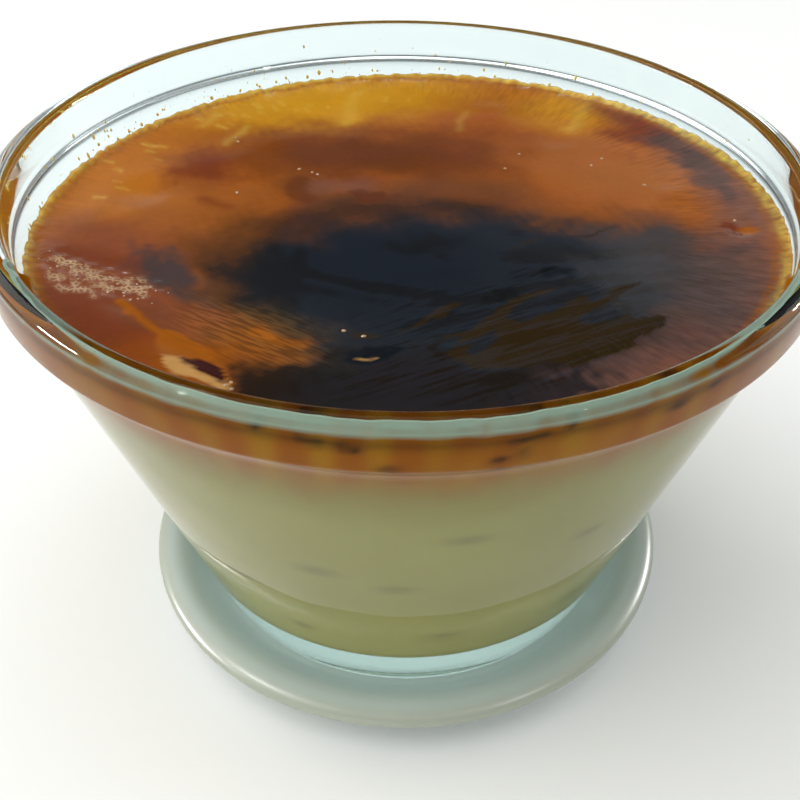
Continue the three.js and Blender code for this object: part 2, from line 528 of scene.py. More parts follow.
class SharedEffects:
    """The node groups that more than one finish uses."""

    def __init__(self) -> None:
        """Builds each group once."""
        self.mottle = self.build_mottle()

    @staticmethod
    def build_mottle() -> bpy.types.NodeTree:
        """Coarse and fine grain in one: a value round 1 to shade a colour with, and a height.

        Returns:
            The group, with Place, Coarse, Fine and Depth in, and Shade and Height out.
        """
        tree = bpy.data.node_groups.new("mottle", "ShaderNodeTree")
        tree.interface.new_socket("Place", in_out="INPUT", socket_type="NodeSocketVector")
        for name in ("Coarse", "Fine", "Depth"):
            tree.interface.new_socket(name, in_out="INPUT", socket_type="NodeSocketFloat")
        for name in ("Shade", "Height"):
            tree.interface.new_socket(name, in_out="OUTPUT", socket_type="NodeSocketFloat")
        graph = Graph(tree)
        given = tree.nodes.new("NodeGroupInput").outputs
        put = tree.nodes.new("NodeGroupOutput").inputs
        coarse = graph.node("TexNoise", {"Vector": given["Place"], "Scale": given["Coarse"], "Detail": 1.0})
        fine = graph.node("TexNoise", {"Vector": given["Place"], "Scale": given["Fine"], "Detail": 1.5})
        both = graph.math("ADD", coarse.outputs[0], fine.outputs[0])
        swing = graph.math("MULTIPLY", graph.math("SUBTRACT", both, 1.0), given["Depth"])
        tree.links.new(graph.math("ADD", swing, 1.0), put["Shade"])
        tree.links.new(fine.outputs[0], put["Height"])
        return tree

    def grained(self, graph: Graph, place: object, grain: Triple) -> bpy.types.Node:
        """Places the mottle, with a finish's coarse and fine grains to the millimetre and their depth."""
        sockets = {"Place": place, "Coarse": grain[0], "Fine": grain[1], "Depth": grain[2]}
        return graph.group(self.mottle, sockets)


def new_material(name: str) -> tuple[bpy.types.Material, Graph, bpy.types.Node, bpy.types.Node]:
    """An empty material with its Principled shader joined to the output.

    Args:
        name: The material's name.

    Returns:
        The material, its graph, the Principled shader and the output.
    """
    material = bpy.data.materials.new(name)
    material.use_nodes = True
    material.node_tree.nodes.clear()
    graph = Graph(material.node_tree)
    shader = graph.node("BsdfPrincipled")
    output = graph.node("OutputMaterial", {"Surface": shader.outputs[0]})
    return material, graph, shader, output


@dataclass(frozen=True)
class GlazeFinish:
    """Pale grey-green glaze on pottery, with a faint mottle, an uneven gloss and painted shade darkening the
    rounded edge.
    """

    color: Triple = (0.47, 0.545, 0.515)
    # Painted shade: the darker colour towards the rounded edge.
    edge_shade_color: Triple = (0.38, 0.41, 0.33)
    roughness: Point = (0.285, 0.32)
    grain: Triple = (0.05, 0.2, 0.04)
    relief: Point = (0.03, 0.3)

    def build(self, effects: SharedEffects) -> bpy.types.Material:
        """Makes the material.

        Args:
            effects: The shared node groups.

        Returns:
            The material.
        """
        material, graph, shader, _ = new_material("saucer_glaze")
        mottle = effects.grained(graph, graph.millimetres(), self.grain)
        body = graph.mix(graph.attribute("edge", "Fac"), (*self.color, 1), (*self.edge_shade_color, 1))
        graph.fill(shader, {
            "Base Color": graph.scaled(body, mottle.outputs["Shade"]),
            "Roughness": graph.rerange(mottle.outputs["Height"], (0.0, 1.0), self.roughness),
            "Normal": graph.bump(mottle.outputs["Height"], self.relief),
        })
        return material


@dataclass(frozen=True)
class GlassFinish:
    """Clear pressed glass with a faint sea-green tint and a slightly wavy surface."""

    color: Triple = (0.82, 0.93, 0.935)
    shadow_color: Triple = (0.95, 0.975, 0.97)
    mirror: Triple = (0.22, 0.20, 0.15)
    index: float = 1.5
    roughness: float = 0.01
    wave_size: float = 7.0
    relief: Point = (0.12, 0.4)

    def build(self) -> bpy.types.Material:
        """Makes the material, which lets lamps through to what is behind it.

        Returns:
            The material.
        """
        material, graph, shader, output = new_material("cup_glass")
        wave = graph.noise(graph.millimetres(), self.wave_size, 0.0)
        graph.fill(shader, {
            "Base Color": (*self.color, 1),
            "IOR": self.index,
            "Transmission Weight": 1.0,
            "Roughness": self.roughness,
            "Specular Tint": (*self.mirror, 1),
            "Normal": graph.bump(wave, self.relief),
        })
        path = graph.node("LightPath").outputs
        passing = graph.math("MAXIMUM", path["Is Shadow Ray"], path["Is Diffuse Ray"])
        clear = graph.node("BsdfTransparent", {"Color": (*self.shadow_color, 1)})
        mixed = graph.node("MixShader", {0: passing, 1: shader.outputs[0], 2: clear.outputs[0]})
        graph.fill(output, {"Surface": mixed.outputs[0]})
        return material


@dataclass(frozen=True)
class CustardFinish:
    """The custard's browned skin: glossy, with fibres, streaks and a lace of foam.

    The mesh brings the tones and the masks; this adds what is finer than the mesh.
    """

    grain: Triple = (0.22, 1.3, 0.16)
    streak_turn: float = 30.0
    streak_stretch: float = 6.0
    streak_size: float = 1.1
    streak_rise: float = 0.8
    fibre_turn: float = -32.0
    fibre_stretch: float = 9.0
    fibre_size: float = 0.36
    fibre_swing: Point = (0.38, 0.62)
    fibre_shade: Point = (0.68, 1.28)
    fibre_rise: float = 0.6
    radial_size: float = 0.6
    radial_swing: Point = (0.33, 0.67)
    radial_shade: Point = (0.82, 1.16)
    radial_rise: float = 0.5
    radial_drift: float = 0.22
    edge_radius: float = 42.0
    lace_scale: float = 1.7
    lace_walls: Point = (0.26, 0.10)
    lace_share: Point = (0.1, 1.0)
    shine: Point = (0.24, 0.12)
    matt_roughness: float = 0.4
    index: float = 1.38
    relief: Point = (0.3, 0.3)

    def build(self, effects: SharedEffects) -> bpy.types.Material:
        """Makes the material.

        Args:
            effects: The shared node groups.

        Returns:
            The material.
        """
        material, graph, shader, _ = new_material("custard_skin")
        place = graph.millimetres()
        rim, fibre, foam, matt, gloss, wrinkle = (
            graph.attribute(name, "Fac") for name in ("rim", "fibre", "foam", "matt", "gloss", "wrinkle")
        )
        radial = graph.noise(self.round_the_axis(graph, place), self.radial_size, 1.0)
        drawn = graph.stretched(place, self.streak_turn, self.streak_stretch)
        streaks = graph.noise(drawn, self.streak_size, 1.0, flat=True)
        drawn = graph.stretched(place, self.fibre_turn, self.fibre_stretch)
        fibres = graph.noise(drawn, self.fibre_size, 1.0, flat=True)
        lace = self.lace(graph, place)
        mottle = effects.grained(graph, place, self.grain)
        tone = graph.scaled(graph.attribute("tone", "Color"), mottle.outputs["Shade"])
        shade = graph.rerange(radial, self.radial_swing, self.radial_shade)
        tone = graph.mix(rim, tone, graph.scaled(tone, shade))
        shade = graph.rerange(fibres, self.fibre_swing, self.fibre_shade)
        tone = graph.mix(fibre, tone, graph.scaled(tone, shade))
        tone = graph.mix(graph.math("MULTIPLY", foam, lace), tone, (*Tone.FOAM.linear(), 1))
        shiny = graph.rerange(gloss, (0, 1), self.shine)
        rough = graph.math("ADD", shiny, graph.math("MULTIPLY", matt, self.matt_roughness))
        height = graph.math("MULTIPLY", streaks, graph.math("MULTIPLY", wrinkle, self.streak_rise))
        for grains, mask, rise in ((radial, rim, self.radial_rise), (fibres, fibre, self.fibre_rise)):
            grown = graph.math("MULTIPLY", grains, graph.math("MULTIPLY", mask, rise))
            height = graph.math("ADD", height, grown)
        normal = graph.bump(height, self.relief)
        graph.fill(shader, {"Base Color": tone, "Roughness": rough, "IOR": self.index, "Normal": normal})
        return material

    def round_the_axis(self, graph: Graph, place: object) -> bpy.types.NodeSocket:
        """A place for noise whose grains run outwards.

        It is the direction from the axis on a ring as wide as the edge, lifted by a share of the radius.

        Args:
            graph: The material's graph.
            place: The place in millimetres.

        Returns:
            The new place.
        """
        level = graph.node("VectorMath", {0: place, 1: (1, 1, 0)}, operation="MULTIPLY").outputs[0]
        direction = graph.node("VectorMath", {0: level}, operation="NORMALIZE").outputs[0]
        ring = graph.scaled(direction, self.edge_radius)
        radius = graph.node("VectorMath", {0: level}, operation="LENGTH").outputs[1]
        lift = graph.node("CombineXYZ", {2: graph.math("MULTIPLY", radius, self.radial_drift)}).outputs[0]
        return graph.node("VectorMath", {0: ring, 1: lift}, operation="ADD").outputs[0]

    def lace(self, graph: Graph, place: object) -> bpy.types.NodeSocket:
        """The walls between tiny bubbles.

        Args:
            graph: The material's graph.
            place: The place in millimetres.

        Returns:
            1 on a wall, falling to nearly 0 inside a bubble.
        """
        sockets = {"Vector": place, "Scale": self.lace_scale}
        cells = graph.node("TexVoronoi", sockets, voronoi_dimensions="2D", feature="DISTANCE_TO_EDGE")
        return graph.rerange(cells.outputs["Distance"], self.lace_walls, self.lace_share)


@dataclass(frozen=True)
class SideFinish:
    """The custard's side, as it shows through the glass it clings to: without a gloss of its own."""

    roughness: float = 0.7
    grain: Triple = (0.16, 1.1, 0.08)

    def build(self, effects: SharedEffects) -> bpy.types.Material:
        """Makes the material.

        Args:
            effects: The shared node groups.

        Returns:
            The material.
        """
        material, graph, shader, _ = new_material("custard_side")
        mottle = effects.grained(graph, graph.millimetres(), self.grain)
        tone = graph.scaled(graph.attribute("tone", "Color"), mottle.outputs["Shade"])
        graph.fill(shader, {"Base Color": tone, "Roughness": self.roughness, "Specular IOR Level": 0.0})
        return material


@dataclass(frozen=True)
class DropFinish:
    """Small drops and flecks of custard on the glass and the skin."""

    name: str
    tone: Tone
    roughness: float
    grain: Triple = (0.5, 4.0, 0.5)
    relief: Point = (0.2, 0.1)

    def build(self, effects: SharedEffects) -> bpy.types.Material:
        """Makes the material.

        Args:
            effects: The shared node groups.

        Returns:
            The material.
        """
        material, graph, shader, _ = new_material(self.name)
        mottle = effects.grained(graph, graph.millimetres(), self.grain)
        graph.fill(shader, {
            "Base Color": graph.scaled(self.tone.linear(), mottle.outputs["Shade"]),
            "Roughness": self.roughness,
            "Normal": graph.bump(mottle.outputs["Height"], self.relief),
        })
        return material


@dataclass(frozen=True)
class FloorFinish:
    """A plain pale studio floor."""

    color: Triple = (0.91, 0.91, 0.90)
    roughness: float = 0.9
    grain: Triple = (0.01, 0.05, 0.01)

    def build(self, effects: SharedEffects) -> bpy.types.Material:
        """Makes the material.

        Args:
            effects: The shared node groups.

        Returns:
            The material.
        """
        material, graph, shader, _ = new_material("floor")
        mottle = effects.grained(graph, graph.millimetres(), self.grain)
        tone = graph.scaled(self.color, mottle.outputs["Shade"])
        graph.fill(shader, {"Base Color": tone, "Roughness": self.roughness})
        return material


# The saucer


@dataclass
class Saucer:
    """A shallow glazed saucer with a foot ring, a well for the cup and a rounded edge."""

    radius: float
    floor_z: float = 3.6
    underside_z: float = 1.5
    well_radius: float = 26.4
    well_ring: float = 0.6
    foot: Point = (20.5, 23.6)
    foot_inset: float = 0.2
    foot_round: Point = (0.5, 0.4)
    foot_flare: Point = (1.2, 0.8)
    foot_steps: int = 5
    edge_z: float = 5.8
    edge_size: Point = (2.4, 1.2)
    edge_steps: int = 24
    # The painted shade on the rounded edge starts and is full at these insets.
    edge_shade_span: Point = (2.2, 0.2)  # how far inside the radius the darker edge starts and is full
    sectors: int = 256
    slope_steps: int = 24

    @classmethod
    def from_frame(cls) -> "Saucer":
        """A saucer as wide as its node in the frame."""
        return cls(radius=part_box("saucer")[1].x / MM)

    def slope(self, edge_r: float, top_z: float) -> Array:
        """The fall from the edge's top to the well, half a cosine wave deep.

        Args:
            edge_r: The radius of the edge's top.
            top_z: Its height.

        Returns:
            Radius and height, one row for each point.
        """
        inward = np.linspace(0, 1, self.slope_steps + 1)[1:]
        fall = (1 - np.cos(np.pi * inward)) / 2
        return np.column_stack([
            edge_r + (self.well_radius - edge_r) * inward,
            top_z + (self.floor_z - top_z) * fall,
        ])

    def profile(self) -> Array:
        """The outline from the middle of the underside round the edge to the middle of the well.

        Returns:
            Radius and height, one row for each point.
        """
        edge_r = self.radius - self.edge_size[0]
        inner, outer = self.foot
        foot_z = self.foot_round[1]
        flat = np.array([[0, self.underside_z], [inner - self.foot_flare[0], self.underside_z]])
        foot_in = arc((inner + self.foot_inset, foot_z), self.foot_round, 180, 270, self.foot_steps)
        foot_out = arc((outer - self.foot_inset, foot_z), self.foot_round, 270, 360, self.foot_steps)
        under = np.array([[outer + self.foot_flare[1], self.underside_z]])
        edge = arc((edge_r, self.edge_z), self.edge_size, -80, 90, self.edge_steps)
        well = np.array([[self.well_radius * self.well_ring, self.floor_z], [0, self.floor_z]])
        top_z = self.edge_z + self.edge_size[1]
        return np.concatenate([flat, foot_in, foot_out, under, edge, self.slope(edge_r, top_z), well])

    def build(self, effects: SharedEffects) -> bpy.types.Object:
        """Makes the piece, which stands for the saucer's node.

        Args:
            effects: The shared node groups.

        Returns:
            The piece.
        """
        vertices, quads, triangles = turned_grid(self.profile(), self.sectors)
        piece = mesh_piece("saucer_glazed", vertices, quads, triangles, crease=50.0)
        radius = np.hypot(vertices[:, 0], vertices[:, 1])
        # Painted shade: the glaze darkens towards the rim.
        inner, outer = (self.radius - inset for inset in self.edge_shade_span)
        paint(piece, "edge", smooth_step(inner, outer, radius))
        piece.data.materials.append(GlazeFinish().build(effects))
        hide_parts("saucer")
        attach(piece, BODY)
        return piece


# The cup


@dataclass
class GlassCup:
    """The pressed glass cup: thick base, straight flared wall and a proud rounded band at the rim."""

    base_z: float
    height: float
    rim_radius: float
    base_radius: float = 27.4
    base_corner: float = 1.2
    base_lift: float = 0.1
    foot_radius: float = 21.5
    foot_inset: float = 0.5
    foot_round: Point = (0.7, 0.25)
    punt_radius: float = 18.5
    punt_depth: float = 0.9
    floor_z: float = 6.9
    floor_ring: float = 0.5
    inner_corner: float = 2.4
    slope: float = 0.3257
    thickness: Point = (2.3, 1.7)
    lip_centre: float = 44.45
    lip_round: float = 1.0
    band_height: float = 5.55
    band_round: float = 0.9
    settle: float = 0.28
    wall_gap: Point = (0.6, 0.4)
    wall_rows: int = 24
    sectors: int = 288

    @classmethod
    def from_frame(cls) -> "GlassCup":
        """A cup with the place, height and rim of its node in the frame."""
        low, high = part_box("glass_cup")
        return cls(base_z=low.z / MM, height=(high.z - low.z) / MM, rim_radius=high.x / MM)

    @property
    def band_foot(self) -> float:
        """Height of the rim band's lower edge above the cup's base."""
        return self.height - self.band_height

    def outer_radius(self, z: Array) -> Array:
        """The wall's outer radius at a height above the base: a straight flare."""
        return self.base_radius + self.slope * z

    def inner_radius(self, z: Array) -> Array:
        """The wall's inner radius: the outer one less a thickness that eases off upwards."""
        up = (z - self.floor_z) / (self.band_foot - self.floor_z)
        return self.outer_radius(z) - (self.thickness[0] + (self.thickness[1] - self.thickness[0]) * up)

    def profile(self) -> Array:
        """The outline from the middle of the base round the rim to the middle of the floor.

        Returns:
            Radius and height, one row for each point.
        """
        corner_z = self.floor_z + self.inner_corner
        corner_r = float(self.inner_radius(corner_z)) - self.inner_corner
        gap_low, gap_high = self.wall_gap
        wall_z = np.linspace(self.base_corner + gap_low, self.band_foot - gap_high, self.wall_rows)
        inside_z = np.linspace(self.band_foot, corner_z + gap_high, self.wall_rows)
        lip = (self.lip_centre, self.height - self.lip_round)
        lip_reach = self.rim_radius - self.lip_centre
        band_centre = (self.rim_radius - self.band_round, self.band_foot + self.band_round)
        base_centre = (self.base_radius - self.base_corner, self.base_corner - self.base_lift)
        base_size = (self.base_corner, self.base_corner - self.base_lift + self.settle)
        foot_centre = (self.foot_radius + self.foot_inset, self.foot_round[1])
        foot_size = (self.foot_round[0], self.foot_round[1] + self.settle)
        parts = [
            np.array([[0, self.punt_depth], [self.punt_radius, self.punt_depth]]),
            arc(foot_centre, foot_size, 200, 270, 6),
            arc(base_centre, base_size, -90, -15, 12),
            np.column_stack([self.outer_radius(wall_z), wall_z]),
            arc(band_centre, (self.band_round, self.band_round), -80, 0, 10),
            arc(lip, (lip_reach, self.lip_round), 8, 90, 14),
            arc(lip, (self.lip_round, self.lip_round), 96, 172, 12),
            np.column_stack([self.inner_radius(inside_z), inside_z]),
            arc((corner_r, corner_z), (self.inner_corner, self.inner_corner), -8, -90, 12),
            np.array([[corner_r * self.floor_ring, self.floor_z], [0, self.floor_z]]),
        ]
        return np.concatenate(parts) + np.array([0, self.base_z])

    def build(self) -> bpy.types.Object:
        """Makes the piece, which stands for the cup's node.

        Returns:
            The piece.
        """
        vertices, quads, triangles = turned_grid(self.profile(), self.sectors)
        piece = mesh_piece("cup_clear", vertices, quads, triangles, crease=70.0)
        piece.data.materials.append(GlassFinish().build())
        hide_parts("glass_cup")
        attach(piece, BODY)
        return piece


# The custard


@dataclass
class SkinRelief:
    """The relief of the browned skin above the custard's level."""

    tilt: Point = (0.018, -0.02)
    sag: float = 1.0
    meniscus: float = 0.45
    meniscus_reach: float = 1.6
    wrinkle_depth: float = 0.4
    wrinkles: tuple[Fold, ...] = (
        Fold((2.0, -21.0), (17.0, -15.5), 1.7, 0.45),
        Fold((4.0, -26.0), (21.0, -19.5), 1.6, 0.5),
        Fold((9.0, -30.0), (26.0, -22.0), 1.7, 0.45),
        Fold((12.0, -10.5), (27.0, -9.0), 2.0, 0.35),
        Fold((20.0, -14.5), (31.0, -13.5), 1.7, 0.4),
        Fold((-11.0, -14.0), (4.0, -18.5), 1.8, 0.35),
        Fold((-8.0, -26.5), (-20.0, -20.5), 1.6, 0.3),
    )
    folds: tuple[Fold, ...] = (
        Fold((-29.5, -18.7), (-23.3, -24.3), 1.8, 0.25),
        Fold((-22.6, -28.8), (-15.4, -33.2), 1.8, -0.3),
        Fold((-19.7, -27.0), (-19.6, -27.0), 3.6, 0.15),
    )
    foam: Fold = Fold((-38.5, -11.8), (-26.5, -17.8), 2.6, 0.55)
    foam_rise: Point = (0.7, 0.3)  # the steady and the swinging share of its height
    foam_waves: tuple[Point, Point] = ((1.9, 0.6), (-0.8, 2.3))
    burst_at: Point = (37.4, -2.8)
    burst_radius: float = 1.9
    burst_lip: Triple = (0.06, 1.3, 0.5)  # height; radius and half width as shares of the burst's
    burst_pit: Point = (0.45, 0.8)  # depth; half width as a share of the burst's radius
    swell_count: int = 9
    swell_reach: Point = (30.0, 3.0)  # middle distance from the axis, and its swing
    swell_height: float = 0.3
    swell_half_width: float = 3.2
    unevenness: tuple[Layer, ...] = ((0.05, 11.0, 3), (0.008, 3.0, 4))
    quiet_reach: float = 3.0

    def height(self, x: Array, y: Array, edge: float) -> Array:
        """The skin's height above the level.

        It sums a sag towards the middle, a rise at the wall, bell curves over the folds, two crossing waves
        along the foam, a pit with a lip at the burst bubble, round swells at the back and fine ripples.

        Args:
            x: The points' x.
            y: The points' y.
            edge: The radius of the custard's edge.

        Returns:
            The heights.
        """
        radius = np.minimum(np.hypot(x, y), edge)
        total = self.tilt[0] * x + self.tilt[1] * y - self.sag * (1 - (radius / edge) ** 2)
        total += self.meniscus * np.exp(-(edge - radius) / self.meniscus_reach)
        for fold in self.folds:
            total += fold.relief(x, y)
        for wrinkle in self.wrinkles:
            total += self.wrinkle_depth * wrinkle.relief(x, y)
        (across_x, across_y), (down_x, down_y) = self.foam_waves
        waves = np.sin(across_x * x + across_y * y) * np.sin(down_x * x + down_y * y)
        total += (self.foam_rise[0] + self.foam_rise[1] * waves) * self.foam.relief(x, y)
        total += self.burst(x, y) + self.back_swells(x, y)
        quiet = 1 - smooth_step(edge - self.quiet_reach, edge, radius)
        return total + quiet * ripples(x, y, self.unevenness)

    def burst(self, x: Array, y: Array) -> Array:
        """The burst bubble: a bell-shaped pit inside a ring-shaped lip.

        Both are given by their height and by shares of the burst's radius.

        Args:
            x: The points' x.
            y: The points' y.

        Returns:
            The heights.
        """
        distance = np.hypot(x - self.burst_at[0], y - self.burst_at[1])
        lip, lip_reach, lip_width = self.burst_lip
        pit, pit_width = self.burst_pit
        raised = lip * bell(distance - lip_reach * self.burst_radius, lip_width * self.burst_radius)
        return raised - pit * bell(distance, pit_width * self.burst_radius)

    def back_swells(self, x: Array, y: Array) -> Array:
        """Low bell-shaped swells round the back half, some raised and some sunk.

        Args:
            x: The points' x.
            y: The points' y.

        Returns:
            The heights.
        """
        total = np.zeros_like(x)
        for i in range(self.swell_count):
            angle = np.pi * (i + 0.5) / self.swell_count
            reach = self.swell_reach[0] + self.swell_reach[1] * np.sin(5 * i)
            distance = np.hypot(x - reach * np.cos(angle), y - reach * np.sin(angle))
            total += self.swell_height * np.cos(2 * i) * bell(distance, self.swell_half_width)
        return total


# The outlines of the marks on the skin were drawn on the photograph point by point and carried to the
# custard's level. Later marks lie over earlier ones. The blue-grey and grey marks on the dark pool are
# a painted sheen, a reflection laid into the colour.


POOL: tuple[Point, ...] = (
    (-19.4, -11.5), (-18.0, -7.5), (-14.9, -5.6), (-11.1, -4.4), (-7.4, -2.4), (-3.4, -1.0), (2.3, 0.8),
    (8.1, 0.8), (13.8, -0.4), (19.4, -2.6), (23.7, -4.4), (27.0, -4.4), (29.5, -6.9), (30.6, -10.4),
    (29.5, -17.1), (27.4, -22.5), (23.8, -26.4), (18.6, -29.7), (17.3, -33.8), (10.7, -37), (1.7, -38),
    (-6.3, -37.5), (-13.6, -34.6), (-9.6, -30.0), (-7.6, -27.4), (-9.3, -23.8), (-12.9, -21.3),
    (-16.4, -18.8), (-18.9, -15.5),
)
TORN: tuple[Point, ...] = (
    (-22.7, -28.2), (-21.0, -28.6), (-19.4, -29.2), (-17.9, -29.9), (-16.6, -31.2), (-15.6, -33.2),
    (-17.0, -33.2), (-19.0, -32.1), (-21.1, -30.6), (-22.3, -29.4),
)
SLIT = Shore(Tone.GARNET, (
    (-21.2, -28.5), (-19.5, -28.9), (-18.0, -29.6), (-16.7, -31.0), (-16.2, -32.4), (-17.5, -31.9),
    (-18.6, -31.4), (-19.8, -30.0),
), 0.16)
FOAM_PATCHES: tuple[tuple[Point, ...], ...] = (
    (
        (-38.6, -11.3), (-37.1, -10.4), (-35.5, -10.7), (-33.4, -12.9), (-31.7, -13.6), (-29.9, -14.7),
        (-28.3, -14.1), (-26.7, -15.2), (-26.0, -17.2), (-26.7, -18.8), (-28.4, -17.9), (-30.1, -17.8),
        (-31.6, -17.3), (-33.3, -15.6), (-35.1, -14.3), (-37.0, -12.6),
    ),
    (
        (-37.8, -13.8), (-36.3, -14.2), (-34.3, -15.5), (-32.5, -16.9), (-30.7, -18.2), (-31.3, -18.9),
        (-33.3, -17.5), (-35.1, -17.6), (-36.8, -16.1),
    ),
)

